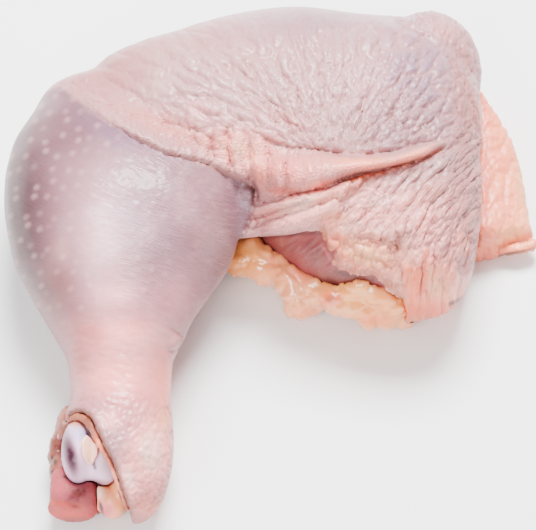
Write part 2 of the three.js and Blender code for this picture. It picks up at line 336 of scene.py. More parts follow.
def beside(knots, pad):
    """For the part of the board near a line: signed distance in points (positive on the left of the
    way the line runs, as it is seen in the picture) and the third number of the nearest knot."""
    line = smooth_line(knots)
    low, high = line.min(0) - pad, line.max(0) + pad
    rows = slice(*np.searchsorted(DOWNWARD, [low[1], high[1]]))
    columns = slice(*np.searchsorted(ACROSS, [low[0], high[0]]))
    x, y = ACROSS[None, columns], DOWNWARD[rows, None]
    best = np.full((y.shape[0], x.shape[1]), 1e9)
    scale = np.zeros_like(best)
    for (ax, ay, ra), (bx, by, rb) in zip(line, line[1:]):
        ex, ey = bx - ax, by - ay
        t = np.clip(((x - ax) * ex + (y - ay) * ey) / (ex * ex + ey * ey), 0, 1)
        gap = np.hypot(x - ax - t * ex, y - ay - t * ey)
        gap = np.where(ex * (y - ay) - ey * (x - ax) > 0, -gap, gap)
        nearer = np.abs(gap) < np.abs(best)
        best = np.where(nearer, gap, best)
        scale = np.where(nearer, ra + t * (rb - ra), scale)
    return (rows, columns), best, scale


print("a line of 3 knots has", len(smooth_line([(0, 0), (20, 5), (40, 0)])), "points")

# %% [markdown]
# ### Kinds of strokes
# Loose skin shows four: thick rolls, sharp creases between soft shoulders, soft ridges, and lips
# that are high on one side only.

# %% Strokes
def roll(knots, height):
    """A roll of skin: the third number of a knot is its half width in points."""
    spot, gap, radius = beside(knots, 24)
    share = np.clip(1 - (gap / np.maximum(radius, 0.5)) ** 2, 0, 1)
    relief[spot] += (height * np.minimum(1, radius / 8) * share**0.6).astype(np.float32)


def crease(knots, depth, width):
    """A sharp valley; depth and width in mm."""
    spot, gap, scale = beside(knots, 6 * width / POINT)
    relief[spot] -= (depth * scale * np.exp(-np.abs(gap) * POINT / width)).astype(np.float32)
    # the mark darkens the colour along the crease: partly pinker skin, partly painted shade
    mark = np.minimum(1, 0.85 * depth * scale) * np.exp(-(gap * POINT / 0.5) ** 2)
    crease_shade_board[spot] = np.maximum(crease_shade_board[spot], mark.astype(np.float32))


def ridge(knots, height, width):
    """A soft ridge, or a soft valley where height is negative; mm."""
    spot, gap, scale = beside(knots, 3 * width / POINT)
    relief[spot] += (height * scale * np.exp(-(gap * POINT / width) ** 2)).astype(np.float32)


def lip(knots, height, run):
    """Raises the skin on the left of a line, highest at the line and fading over run mm."""
    spot, gap, scale = beside(knots, 3 * run / POINT)
    rise = np.where(gap > 0, np.exp(-gap * POINT / run), np.exp(gap * POINT / 0.35))
    relief[spot] += (height * scale * rise).astype(np.float32)


def tell_relief(what):
    """Prints how deep and how high the board is by now."""
    print(what, "drawn, relief", relief.min().round(2), "to", relief.max().round(2), "mm")


tell_relief("nothing")

# %% [markdown]
# ### The lip over the drumstick
# Over the knee the thigh's skin hangs as a lip on the drumstick. A lip stroke raises its edge, and
# a crease under it makes the shadow that parts it from the drumstick.

# %% The lip
LIP_LINE = [(84, 108), (94, 114), (108, 122), (124, 129), (136, 137), (149, 144), (168, 152),
            (194, 158), (213, 165), (226, 172), (239, 176), (251, 184)]
lip([k + (s,) for k, s in zip(LIP_LINE, (0.1, 0.3, 0.6, 0.8, 1, 1, 1, 1, 1, 1, 1, 0.8))], 1.9, 5.5)
crease([k + (s,) for k, s in zip(LIP_LINE, (0.2, 0.4, 0.7, 0.8, 1, 1, 1, 1, 1.1, 1.1, 1.2, 1.3))]
       + [(255, 192, 1.3), (255, 200, 0.9), (253, 211, 0.7), (249, 223, 0.7), (244, 235, 0.5)], 1.3, 0.55)
tell_relief("lip")

# %% [markdown]
# ### The pinch fold
# To the right of the lip a pinch fold crosses the thigh, fat at the left and thin at the right,
# with a deep crease under it. It is one long roll whose half width changes from knot to knot.

# %% The pinch fold
roll([(256, 168, 10), (275, 172, 16), (300, 174, 18), (322, 170, 16), (340, 167, 12.5), (356, 164, 10),
      (372, 163, 8), (395, 159, 7), (416, 153, 6), (430, 148, 5), (443, 142, 2.5)], 3.9)
crease([(266, 139, 0.5), (287, 147), (315, 149), (334, 153), (357, 156, 0.8), (390, 151, 0.7),
        (427, 144, 0.5), (442, 140, 0.2)], 1.3, 0.6)
lip([(441, 149, 0.2), (428, 157, 0.7), (416, 161), (393, 167), (372, 172), (359, 175), (347, 180, 0.6),
     (338, 184, 0.2)], -1.0, 2.0)
crease([(338, 184, 0.4), (347, 179), (359, 175), (372, 172), (393, 167, 0.9), (416, 161, 0.8),
        (428, 157, 0.6), (441, 149, 0.1)], 1.0, 0.7)
tell_relief("fold")

# %% [markdown]
# ### Fingers of the lip
# Where lip and fold meet, the skin is gathered in soft upright fingers: creases with a low roll
# between two of them.

# %% Fingers
for knots, depth in (([(229, 124, 0.4), (228, 146), (232, 168)], 1.7),
                     ([(250, 138, 0.4), (250, 156), (252, 178)], 1.9),
                     ([(269, 150, 0.5), (268, 166), (270, 186, 0.6)], 1.8),
                     ([(287, 153, 0.5), (286, 168), (288, 190, 0.5)], 1.3),
                     ([(303, 158, 0.3), (303, 174), (305, 190, 0.3)], 0.7),
                     ([(213, 128, 0.3), (212, 144), (215, 160)], 1.1),
                     ([(196, 122, 0.2), (195, 138), (197, 154)], 0.8),
                     ([(241, 146, 0.3), (241, 160), (243, 172)], 0.8),
                     ([(180, 118, 0.3), (179, 132), (181, 148, 0.5)], 0.7),
                     ([(163, 116, 0.3), (164, 130), (166, 144, 0.5)], 0.6),
                     ([(147, 110, 0.3), (147, 122), (150, 136, 0.5)], 0.5)):
    crease(knots, depth, 0.8)
for knots, height in (([(240, 132, 4), (239, 152, 9), (243, 172, 7)], 1.1),
                      ([(259, 146, 5), (259, 162, 8), (261, 182, 6)], 1.2),
                      ([(278, 154, 4), (277, 170, 8), (280, 188, 5)], 1.0),
                      ([(221, 128, 3), (220, 146, 7), (224, 164, 5)], 0.8),
                      ([(204, 124, 3), (204, 142, 6), (206, 156, 4)], 0.6)):
    roll(knots, height)

tell_relief("fingers")

# %% [markdown]
# ### Strands below the fold
# From the pit beside the drumstick, strands of skin fan out under the fold: three rolls side by
# side, and the creases that part them and run on into the hanging skin.

# %% Strands
roll([(253, 211, 4), (277, 206, 6), (299, 200, 6), (322, 196, 6), (341, 188, 6), (358, 180, 3)], 2.6)
roll([(252, 224, 4), (275, 217, 5), (296, 209, 6), (316, 204, 4)], 2.2)
roll([(246, 234, 4), (266, 229, 7), (288, 224, 9), (309, 217, 9), (334, 206, 6)], 2.2)
for knots, depth in (([(258, 203, 0.5), (277, 200), (299, 193), (325, 189), (342, 181, 0.6)], 1.6),
                     ([(256, 218, 0.5), (277, 211), (299, 204), (316, 200, 0.4)], 1.4),
                     ([(252, 231, 0.5), (262, 224), (282, 217), (303, 211), (322, 203, 0.4)], 1.4),
                     ([(330, 208, 0.5), (350, 196), (366, 186, 0.4)], 0.7),
                     ([(344, 214, 0.5), (358, 202), (372, 190, 0.4)], 0.7),
                     ([(360, 222, 0.4), (374, 208), (384, 194, 0.4)], 0.7),
                     ([(378, 226, 0.4), (390, 212), (398, 196, 0.4)], 0.6)):
    crease(knots, depth, 0.7)

tell_relief("strands")

# %% [markdown]
# ### Creases of the thigh
# Most wrinkles of the thigh are left to a rule further down. The larger ones can be told one by
# one in the picture, so they are drawn here, with two short ones where the drumstick narrows.

# %% Creases of the thigh
for knots, depth in (([(206, 50, 0.4), (217, 63), (232, 70), (251, 81), (268, 88, 0.4)], 0.85),
                     ([(226, 92, 0.4), (245, 95), (262, 104), (284, 115, 0.5)], 0.75),
                     ([(271, 104, 0.5), (285, 121), (302, 130, 0.5)], 1.0),
                     ([(162, 49, 0.4), (170, 60), (185, 70), (206, 80, 0.4)], 0.7),
                     ([(190, 56, 0.3), (204, 62), (218, 76, 0.3)], 0.5),
                     ([(128, 91, 0.4), (143, 103), (157, 107, 0.4)], 0.7),
                     ([(175, 97, 0.4), (213, 97), (236, 109, 0.4)], 0.5),
                     ([(238, 60, 0.3), (252, 68), (262, 80, 0.3)], 0.5),
                     ([(268, 50, 0.4), (278, 62), (284, 78, 0.4)], 0.7),
                     ([(276, 70, 0.4), (286, 80), (300, 94, 0.4)], 0.7),
                     ([(298, 39, 0.4), (304, 56), (307, 73, 0.4)], 0.6),
                     ([(321, 46, 0.4), (323, 66), (324, 84), (324, 108, 0.4)], 0.8),
                     ([(334, 68, 0.4), (330, 92), (331, 126, 0.4)], 0.8),
                     ([(346, 60, 0.3), (345, 84), (343, 110, 0.4)], 0.6),
                     ([(360, 48, 0.4), (358, 68), (354, 92, 0.4)], 0.7),
                     ([(381, 62, 0.4), (372, 92), (355, 114, 0.4)], 0.7),
                     ([(296, 92, 0.4), (298, 108), (312, 118, 0.5)], 0.9),
                     ([(310, 84, 0.3), (314, 100), (320, 120, 0.4)], 0.8),
                     ([(411, 90, 0.3), (398, 106), (390, 122, 0.4)], 0.7),
                     ([(436, 80, 0.3), (434, 98, 0.6), (430, 112, 0.3)], 0.6),
                     ([(434, 122, 0.4), (418, 132), (404, 138, 0.3)], 0.6),
                     ([(372, 96, 0.4), (366, 112), (362, 130, 0.4)], 0.6),
                     ([(404, 60, 0.3), (398, 78), (388, 94, 0.3)], 0.5),
                     ([(168, 326, 0.5), (178, 333), (184, 341)], 1.1),
                     ([(170, 351), (180, 349)], 0.9)):
    crease(knots, depth, 0.6)

tell_relief("creases")

# %% [markdown]
# ### Folds of the hanging skin
# At the right the skin hangs down in long folds that end at the torn rim. Low ridges stand for
# the rim of the hock's opening, the edge of the lump of back meat, and the thick hanging folds.

# %% Folds of the hanging skin
for knots, depth in (([(452, 150, 0.3), (444, 166), (430, 182), (414, 200), (404, 218, 0.3)], 0.8),
                     ([(462, 160, 0.3), (452, 180), (438, 196), (424, 216), (416, 236, 0.3)], 0.9),
                     ([(468, 180, 0.3), (458, 200), (444, 214), (434, 232, 0.3)], 0.8),
                     ([(472, 204, 0.3), (462, 222), (450, 236), (446, 254, 0.3)], 0.8),
                     ([(438, 160, 0.3), (424, 174), (408, 190), (396, 208, 0.3)], 0.7),
                     ([(420, 168, 0.3), (406, 180), (392, 198), (386, 214, 0.3)], 0.6),
                     ([(474, 232, 0.3), (464, 246), (460, 270), (456, 290, 0.3)], 0.7),
                     ([(346, 236, 0.3), (366, 238), (386, 239), (395, 241, 0.5)], 0.9),
                     ([(401, 262, 0.3), (402, 276), (406, 292, 0.5)], 0.8),
                     ([(422, 262, 0.4), (422, 280), (421, 298, 0.5)], 0.9),
                     ([(433, 256, 0.4), (433, 276), (430, 300, 0.5)], 0.7)):
    crease(knots, depth, 0.7)
ridge([(64, 430), (67, 419), (73, 411), (81, 408), (90, 411), (98, 421), (104, 434), (110, 446),
       (116, 459), (121, 473), (125, 486), (130, 500), (134, 513, 0.5)], 0.8, 0.9)
ridge([(385, 13, 0.1), (396, 16, 0.6), (417, 27), (434, 38), (448, 52, 0.4)], 0.7, 1.3)
ridge([(386, 20, 0.1), (398, 24, 0.6), (415, 34), (432, 46), (446, 62, 0.4)], -0.5, 1.3)
ridge([(180, 342), (175, 349, 0.7)], 1.6, 2.2)
for knots, height, width in (
        ([(417, 256, 0.5), (417, 275), (417, 299, 0.8)], 1.0, 1.1),
        ([(427, 248, 0.5), (427, 270), (424, 294)], 0.8, 0.9),
        ([(441, 232, 0.4), (440, 262), (434, 302)], 0.7, 1.2),
        ([(456, 226, 0.4), (456, 262), (446, 298)], 0.7, 1.3),
        ([(340, 231, 0.5), (360, 234), (392, 234)], 0.9, 1.0),
        ([(394, 236), (402, 228)], 1.3, 1.1),
        ([(397, 238), (398, 250)], -0.8, 0.6),
        ([(408, 268, 0.5), (404, 288)], 0.6, 1.2)):
    ridge(knots, height * 1.4, width)
tell_relief("hanging skin")

# %% [markdown]
# ### Pressing the board onto the body
# Only the side that faces the view may take the relief. Its depth along each sight line is found
# by walking from the eye until the body starts. A lattice point takes the relief of the board
# point it lies behind, and less of it the farther it is from that first surface.

# %% Reading fields and boards
def value_at(field, points, first=FIRST, voxel=VOXEL):
    """The field between lattice points."""
    place = np.clip(points / voxel - first, 0, np.array(field.shape) - 1.001)
    low = place.astype(int)
    share = place - low
    total = 0.0
    for corner in range(8):
        step = np.array([corner & 1, corner >> 1 & 1, corner >> 2 & 1])
        weight = np.prod(np.where(step, share, 1 - share), axis=-1)
        spot = low + step
        total = total + weight * field[spot[..., 0], spot[..., 1], spot[..., 2]]
    return total


ABOVE_ALL = 62.0  # mm before the aim, where no part of the piece is met yet
WALK = 90  # steps of at most 2 mm


def drop(spots, field):
    """Picture points moved along their sight lines onto the field's surface, with their depth."""
    spots = np.asarray(spots, float)
    way = sight(spots)
    depth = np.full(spots.shape[:-1], REACH - ABOVE_ALL)
    for _ in range(WALK):
        depth += np.clip(value_at(field, EYE + way * depth[..., None]) * 0.9, -0.5, 2.0)
    return EYE + way * depth[..., None], depth


def from_board(values, spots):
    """Board values at picture points."""
    x = np.clip((spots[..., 0] - ACROSS[0]) * FINE, 0, len(ACROSS) - 1.001)
    y = np.clip((spots[..., 1] - DOWNWARD[0]) * FINE, 0, len(DOWNWARD) - 1.001)
    i, j = y.astype(int), x.astype(int)
    s, t = y - i, x - j
    return ((1 - s) * ((1 - t) * values[i, j] + t * values[i, j + 1])
            + s * ((1 - t) * values[i + 1, j] + t * values[i + 1, j + 1]))


print("the picture's middle is met at", drop([MIDDLE], body)[0][0].round(1), "mm")

# %% [markdown]
# ### Closing the gap beside the drumstick
# Below the pit the real skin runs from drumstick to strands without a gap, and a hole there would
# show black. A thick rod is joined to the body halfway between the two sides, a little behind them.

# %% A bridge below the pit
DRUM_SIDE = [(240, 196), (238, 208), (235, 218), (231, 228), (228, 236)]
STRAND_SIDE = [(264, 198), (262, 208), (259, 218), (254, 228), (249, 236)]
left, right = (drop(side, body)[0] for side in (DRUM_SIDE, STRAND_SIDE))
BRIDGE_DEEP = 3.2
bridge = (left + right) / 2 + AHEAD * BRIDGE_DEEP
block, points = block_of(bridge.min(0) - 9, bridge.max(0) + 9)
rod = to_line(points, bridge, [2.4, 3.0, 3.4, 3.4, 2.8]).astype(np.float32)
body[block] = join(body[block], rod, 3.0)
print("bridge at", bridge[0].round(1), "to", bridge[-1].round(1))

# %% [markdown]
# ### Pressing
# The outer surface takes the whole board. The inner one takes its valleys alone, a little widened,
# so that the skin keeps its thickness under a crease and is thicker under a roll.

# %% Press
STRIDE = 3  # board samples from one walked sight line to the next
OUT, IN = 4.6, 3.4  # mm outside and inside the surface that the relief reaches
FADE = 5.0  # mm behind the first surface over which the relief ends
LEAST = 0.8  # mm of skin that stay everywhere
coarse = np.stack(np.meshgrid(ACROSS[::STRIDE], DOWNWARD[::STRIDE]), -1)
front = drop(coarse, body)[1]
near_skin = np.argwhere((body > -IN) & (body < OUT))
points = (near_skin + FIRST) * VOXEL
spots = picture(points)
row = np.clip(np.rint((spots[:, 1] - DOWNWARD[0]) * FINE / STRIDE).astype(int), 0, front.shape[0] - 1)
column = np.clip(np.rint((spots[:, 0] - ACROSS[0]) * FINE / STRIDE).astype(int), 0, front.shape[1] - 1)
behind = (points - EYE) @ AHEAD - front[row, column]
seen = np.clip(2 - np.abs(behind) / FADE, 0, 1)


def widened(values, reach):
    """The lowest board value within reach samples, along both ways of the board."""
    for axis in (0, 1):
        values = np.minimum.reduce([np.roll(values, step, axis) for step in range(-reach, reach + 1, 2)])
    return values


lining = body + SKIN_DEEP
valleys = widened(np.minimum(relief, 0), reach=10)
lining[tuple(near_skin.T)] -= (from_board(valleys, spots) * seen).astype(np.float32)
body[tuple(near_skin.T)] -= (from_board(relief, spots) * seen).astype(np.float32)
lining = np.maximum(lining, body + LEAST)
print("pressed onto", len(points), "lattice points")

# %% [markdown]
# ## Openings
# The skin is a sleeve. It is torn along the front edge, trimmed away round the end of the shin,
# and bare under the thigh, where the leg was parted from the back. The first two outlines are
# drawn in the picture, with the ragged rim that a tear has; the third comes from the solid.

# %% The skin sleeve
TEAR = [(238, 239), (256, 237), (274, 236), (289, 235), (307, 231), (321, 231), (323, 240), (329, 242),
        (329, 249), (337, 250), (335, 262), (338, 270), (348, 271), (357, 274), (364, 276), (377, 275),
        (381, 282), (386, 287), (392, 290), (398, 297), (404, 299), (408, 312), (404, 330), (380, 345),
        (270, 345), (245, 285), (232, 268)]
HOCK_CUT = [(78, 414), (86, 414), (92, 419), (97, 430), (102, 441), (108, 452), (114, 465), (118, 478),
            (122, 489), (127, 502), (130, 513), (134, 530), (90, 560), (30, 560), (34, 487), (48, 476),
            (52, 460), (58, 441), (65, 426), (71, 416)]


def inside_outline(spots, outline):
    """Signed distance in the picture (points) to an outline: negative inside."""
    outline = np.asarray(outline, float)
    x, y = spots[..., 0], spots[..., 1]
    best = np.full(x.shape, 1e9)
    odd = np.zeros(x.shape, bool)
    for (ax, ay), (bx, by) in zip(outline, np.roll(outline, -1, 0)):
        ex, ey = bx - ax, by - ay
        t = np.clip(((x - ax) * ex + (y - ay) * ey) / (ex * ex + ey * ey), 0, 1)
        best = np.minimum(best, np.hypot(x - ax - t * ex, y - ay - t * ey))
        if ay != by:
            odd ^= ((ay > y) != (by > y)) & (x < ax + (y - ay) / ey * ex)
    return np.where(odd, -best, best)


EDGE = 0.8  # mm over which cut edges of the skin are rounded


def open_up(field, outline, top, bottom):
    """Cuts a column with this outline out of the field, between two heights over the table."""
    way = sight(outline)
    corners = np.vstack([EYE + way * ((z - EYE[2]) / way[:, 2:3]) for z in (top, bottom)])
    block, points = block_of(corners.min(0) - 2, corners.max(0) + 2)
    column = inside_outline(picture(points), outline) * POINT
    column = np.maximum(column, np.maximum(points[..., 2] - top, bottom - points[..., 2]))
    field[block] = cut(field[block], column.astype(np.float32), EDGE)


skin = np.maximum(body, -lining)
open_up(skin, TEAR, top=40.0, bottom=2.5)
open_up(skin, HOCK_CUT, top=40.0, bottom=-5.0)
BARE_OFF, BARE_HIGH = 0.9, 7.0  # mm from the solid's skin, and over the table, where it is bare
skin = cut(skin, np.maximum(BARE_OFF - skin_solid, AXES[2] - BARE_HIGH), EDGE)
print("skin volume cm3", round(float((skin < 0).sum()) * VOXEL**3 / 1000, 1))

# %% [markdown]
# ### From field to mesh
# The surface of a field is meshed in quads. A few loose crumbs, where a crease has cut through a
# thin spot, are deleted: points that are joined share the lowest number found among them, and
# groups of few points go.

# %% Meshing
CRUMB = 100  # points


def drop_crumbs(mesh):
    """Deletes the loose islands of a mesh that have only a few points."""
    edges = np.empty(len(mesh.edges) * 2, np.int32)
    mesh.edges.foreach_get("vertices", edges)
    a, b = edges.reshape(-1, 2).T
    label, before = np.arange(len(mesh.vertices)), None
    while before is None or (label != before).any():
        before = label.copy()
        lowest = np.minimum(label[a], label[b])
        np.minimum.at(label, before[a], lowest)
        np.minimum.at(label, before[b], lowest)
        label = label[label]
    small = np.nonzero(np.bincount(label)[label] < CRUMB)[0]
    if len(small):
        shell = bmesh.new()
        shell.from_mesh(mesh)
        shell.verts.ensure_lookup_table()
        bmesh.ops.delete(shell, geom=[shell.verts[i] for i in small], context="VERTS")
        shell.to_mesh(mesh)
        shell.free()
    print(mesh.name, "islands", len(np.unique(label)), "crumb points deleted", len(small))


def mesh_of(field, name):
    """A quad mesh of a field's surface, in metres, with its faces pointing out."""
    grid = vdb.FloatGrid(FAR)
    grid.copyFromArray(np.ascontiguousarray(field))
    points, quads = grid.convertToQuads(isovalue=0.0)
    points = (points + FIRST) * VOXEL * MM
    mesh = bpy.data.meshes.new(name)
    mesh.vertices.add(len(points))
    mesh.vertices.foreach_set("co", points.astype(np.float32).ravel())
    mesh.loops.add(len(quads) * 4)
    mesh.polygons.add(len(quads))
    mesh.loops.foreach_set("vertex_index", quads.astype(np.int32).ravel())
    mesh.polygons.foreach_set("loop_start", np.arange(0, len(quads) * 4, 4, dtype=np.int32))
    mesh.update(calc_edges=True)
    drop_crumbs(mesh)
    mesh.shade_smooth()
    piece = bpy.data.objects.new(name, mesh)
    bpy.context.scene.collection.objects.link(piece)
    return piece


skin_piece = mesh_of(skin, "leg_skin")
print("skin:", len(skin_piece.data.vertices), "points", len(skin_piece.data.polygons), "faces")

# %% [markdown]
# ### Keeping the fine faces where they show
# Folds and wrinkles need a fine mesh, the inside of the sleeve and its underside don't. Decimate
# may only touch points of a vertex group, and the group leaves out all that faces up and out.

# %% Thinning
def points_of(piece):
    """Points of a mesh in mm, and their normals."""
    mesh = piece.data
    places = np.empty(len(mesh.vertices) * 3, np.float32)
    normals = np.empty(len(mesh.vertices) * 3, np.float32)
    mesh.vertices.foreach_get("co", places)
    mesh.vertex_normals.foreach_get("vector", normals)
    return places.reshape(-1, 3).astype(float) / MM, normals.reshape(-1, 3).astype(float)


def ramp(values, low, high):
    """0 below low, 1 above high, smooth between (or falling, where low is above high)."""
    t = np.clip((np.asarray(values) - low) / (high - low), 0, 1)
    return t * t * (3 - 2 * t)


def plain(piece):
    """Turns a piece with its modifiers into a plain mesh."""
    graph = bpy.context.evaluated_depsgraph_get()
    result = bpy.data.meshes.new_from_object(piece.evaluated_get(graph))
    piece.modifiers.clear()
    old = piece.data
    piece.data = result
    bpy.data.meshes.remove(old)


def thin(piece, weights, faces):
    """Decimates the points with weight until the piece has about that many triangles."""
    group = piece.vertex_groups.new(name="hidden")
    for level in np.unique(weights):
        if level > 0:
            group.add(np.nonzero(weights == level)[0].tolist(), float(level), "REPLACE")
    share = faces / (2 * len(piece.data.polygons))
    modifier = piece.modifiers.new("thin", "DECIMATE")
    modifier.ratio = share
    modifier.vertex_group = "hidden"
    modifier.vertex_group_factor = 1.0
    modifier.use_collapse_triangulate = True
    plain(piece)
    piece.vertex_groups.clear()
    piece.data.shade_smooth()


print("halfway up a ramp:", ramp(5, 0, 10))

# %% [markdown]
# ### Thinning the skin
# Points on the outer surface that face up or sideways to the picture keep their faces. All others,
# the lining of the sleeve and its underside, share what is left.

# %% Thinning the skin
SKIN_FACES = 190000  # triangles
places, normals = points_of(skin_piece)
depth_in = value_at(body, places)
outward = ramp(-(normals * sight(picture(places))).sum(1), -0.35, -0.05)
shown = (depth_in > -0.5) * outward
thin(skin_piece, np.where(shown > 0.3, 0.0, 1.0), SKIN_FACES)
places, normals = points_of(skin_piece)
print("skin:", len(places), "points,", len(skin_piece.data.polygons), "faces")

# %% [markdown]
# ## Wrinkles
# Loose skin lies in small cushions with sharp creases between them. They are long where the skin is
# pulled one way, and their direction changes from place to place: a fan over the thigh, slanting
# lines on the drumstick, upright folds at the right. Each zone of skin gets a flow, which is how far
# a point lies across and along the wrinkles, and a mask. One Geometry Nodes tree turns any flow
# into cushions, so the zones differ only in its inputs.

# %% Zones of the skin
spots = picture(places)
depth_in = value_at(body, places)
faces_view = ramp(-(normals * sight(spots)).sum(1), 0.0, 0.25)
outer = ramp(depth_in, -1.2, -0.3) * faces_view


def within(outline, soft=6.0, at=None):
    """1 inside an outline of the picture, 0 outside, over a soft edge in points."""
    return ramp(-inside_outline(spots if at is None else at, outline), -soft / 2, soft / 2)


THIGH = [(60, 92), (100, 50), (200, 8), (380, 0), (450, 0), (500, 80), (486, 150), (455, 140),
         (441, 145), (390, 151), (357, 155), (334, 151), (315, 148), (287, 146), (266, 138), (240, 130),
         (190, 138), (150, 128), (100, 106)]
HANGING = [(340, 186), (352, 179), (395, 168), (441, 150), (458, 128), (500, 150), (500, 262),
           (480, 310), (430, 335), (405, 325), (396, 296), (380, 282), (338, 268), (325, 232),
           (318, 205)]
LIP = [(84, 100), (150, 118), (190, 128), (240, 126), (266, 136), (287, 145), (334, 152), (357, 157),
       (390, 151), (427, 144), (446, 140), (441, 149), (416, 161), (393, 167), (359, 176), (340, 183),
       (300, 198), (254, 196), (251, 186), (226, 174), (168, 154), (108, 124)]
DRUM = [(60, 88), (84, 106), (108, 123), (168, 154), (226, 174), (251, 186), (255, 204), (250, 222),
        (242, 240), (226, 270), (192, 320), (183, 338), (74, 356), (20, 320), (-10, 230), (-8, 140),
        (20, 100)]
SHANK = [(-20, 325), (300, 325), (300, 560), (-20, 560)]
TORN = [(330, 236), (360, 230), (396, 228), (404, 250), (404, 302), (381, 283), (350, 273), (334, 264),
        (326, 245)]
STRANDS = [(256, 203), (300, 195), (342, 182), (374, 188), (350, 212), (318, 232), (244, 240)]
BUMP = [(376, 0), (440, -6), (500, 75), (490, 150), (460, 130), (446, 62), (428, 34), (400, 18)]
thigh, hanging, lip_zone, drum = (within(z) for z in (THIGH, HANGING, LIP, DRUM))
shank, torn, bump, strands = within(SHANK, 60), within(TORN, 4), within(BUMP, 8), within(STRANDS, 5)
for name, zone in (("thigh", thigh), ("hanging", hanging), ("lip", lip_zone), ("drumstick", drum)):
    print(name, "points", int((zone * outer > 0.5).sum()))

# %% [markdown]
# ### Flows and masks
# A flow gives each point two lengths in mm, across the wrinkles and along them. On the thigh it is
# the angle and the distance from the fan's middle, elsewhere a slanted or bent grid. Masks say
# where each kind of wrinkle is found, and how they fade into each other.

# %% Flows
FAN = (340, 175)  # where the creases of the thigh point to
FAN_SPREAD = 16  # mm for one radian of the fan
HANG_BEND, HANG_ROOT = 0.0036, 305  # bend of the hanging folds, and the height where they are upright
fan_x, fan_y = (spots[:, 0] - FAN[0]) * POINT, (FAN[1] - spots[:, 1]) * POINT
fan_far = np.hypot(fan_x, fan_y)
u, v = spots[:, 0], spots[:, 1]
level = ramp(v, 150, 300)
slant = 0.62 * (1 - level) + 0.3 * level * ramp(u, 100, 220)
FLOWS = {
    "fan": (np.arctan2(fan_x, fan_y) * FAN_SPREAD, fan_far),
    "hang": ((u - HANG_BEND * (HANG_ROOT - v) ** 2) * POINT, -v * POINT),
    "upright": (u * POINT, v * POINT),
    "leg": ((v - slant * (u - 60)) * POINT, u * POINT),
    "strand": ((v + 0.28 * u) * POINT, u * POINT),
}
MASKS = {
    "thigh_near": thigh * ramp(fan_far, 4, 9) * ramp(fan_far, 30, 20) * (1 - bump),
    "thigh_far": thigh * ramp(fan_far, 18, 26) * ramp(fan_far, 66, 40) * ramp(v, 8, 42) * (1 - bump),
    "thigh_edge": np.maximum(thigh * ramp(fan_far, 30, 50) * ramp(u, 260, 200),
                             lip_zone * ramp(u, 255, 225)),
    "hanging": hanging * (1 - torn) * ramp(u, 312, 350) * ramp(v, 286, 262),
    "tassel": hanging * (1 - torn) * ramp(v, 262, 286),
    "strands": strands * (1 - drum),
    "thigh": thigh * ramp(v, 25, 60) * ramp(fan_far, 46, 26) * (1 - bump),
    "lip": lip_zone * ramp(u, 200, 225) * ramp(u, 345, 320),
    "hem": np.maximum(lip_zone, thigh * ramp(v, 85, 105)) * ramp(u, 230, 205),
    "drum": drum * (1 - shank) * ramp(u, 60, 110),
    "shank": shank * ramp(v, 420, 385),
    "lobe": shank * ramp(v, 380, 415),
    "torn": torn,
    "bump": bump,
}
print("flows:", *FLOWS, "masks:", *MASKS)

# %% [markdown]
# ### Storing them on the points
# A tree reads flows and masks as attributes of the points. The darker lines of the drawn creases,
# partly painted shade, come from the board, and all are kept to the outer surface.

# %% Storing flows and masks
def keep(piece, name, values):
    """Stores numbers, vectors or colours on the points of a piece."""
    kind = {0: "FLOAT", 3: "FLOAT_VECTOR", 4: "FLOAT_COLOR"}[0 if values.ndim == 1 else values.shape[1]]
    store = piece.data.attributes.get(name) or piece.data.attributes.new(name, kind, "POINT")
    field = {"FLOAT": "value", "FLOAT_VECTOR": "vector", "FLOAT_COLOR": "color"}[kind]
    store.data.foreach_set(field, np.ascontiguousarray(values, np.float32).ravel())


for name, (across, along) in FLOWS.items():
    keep(skin_piece, "flow_" + name, np.stack([across, along, 0 * across], -1))
for name, mask in MASKS.items():
    keep(skin_piece, "mask_" + name, mask * outer)
keep(skin_piece, "crease", from_board(crease_shade_board, spots) * outer)
keep(skin_piece, "pore", np.zeros(len(places)))
print("attributes on the skin:", len(skin_piece.data.attributes))

# %% [markdown]
# ### Building node trees
# Trees read well in a script when each node is one call that takes values or other nodes' sockets.
# A few short helpers cover what the trees below need.

# %% Helpers that build node trees
def grow(tree, kind, inputs=None, **settings):
    """Adds a node; inputs are values, or sockets to link."""
    fresh = tree.nodes.new(kind)
    for key, value in settings.items():
        setattr(fresh, key, value)
    for key, value in (inputs or {}).items():
        if isinstance(value, bpy.types.NodeSocket):
            tree.links.new(value, fresh.inputs[key])
        else:
            fresh.inputs[key].default_value = value
    return fresh


def sum_of(tree, operation, *values, clamp=False):
    """Arithmetic on numbers."""
    return grow(tree, "ShaderNodeMath", dict(enumerate(values)), operation=operation,
                use_clamp=clamp).outputs[0]


def vector_of(tree, operation, *values):
    """Arithmetic on vectors and colours."""
    return grow(tree, "ShaderNodeVectorMath", dict(enumerate(values)), operation=operation).outputs[0]


def times(tree, first, second, clamp=False):
    return sum_of(tree, "MULTIPLY", first, second, clamp=clamp)


def noise(tree, place, scale, detail, output="Fac", **settings):
    """Cloudy noise; its size is one over the scale."""
    return grow(tree, "ShaderNodeTexNoise", {"Vector": place, "Scale": scale, "Detail": detail},
                **settings).outputs[output]


def cells_of(tree, place, feature="F1", **inputs):
    """The outputs of a flat pattern of cells."""
    return grow(tree, "ShaderNodeTexVoronoi", {"Vector": place, "Scale": 1.0, **inputs},
                voronoi_dimensions="2D", feature=feature).outputs


print("trees so far:", len(bpy.data.node_groups))

# %% [markdown]
# ### Trees that move points
# Both trees below read attributes, push points out along their normals, and leave a mark that the
# finish can read. A tree starts with its named inputs, and ends in Realize Instances and Set
# Material. The modifier's inputs are set by the sockets' identifiers, which never change.

# %% Helpers for geometry trees
def read(tree, name, kind="FLOAT"):
    """An attribute of the points, in a geometry tree."""
    return grow(tree, "GeometryNodeInputNamedAttribute", {"Name": name}, data_type=kind).outputs[0]


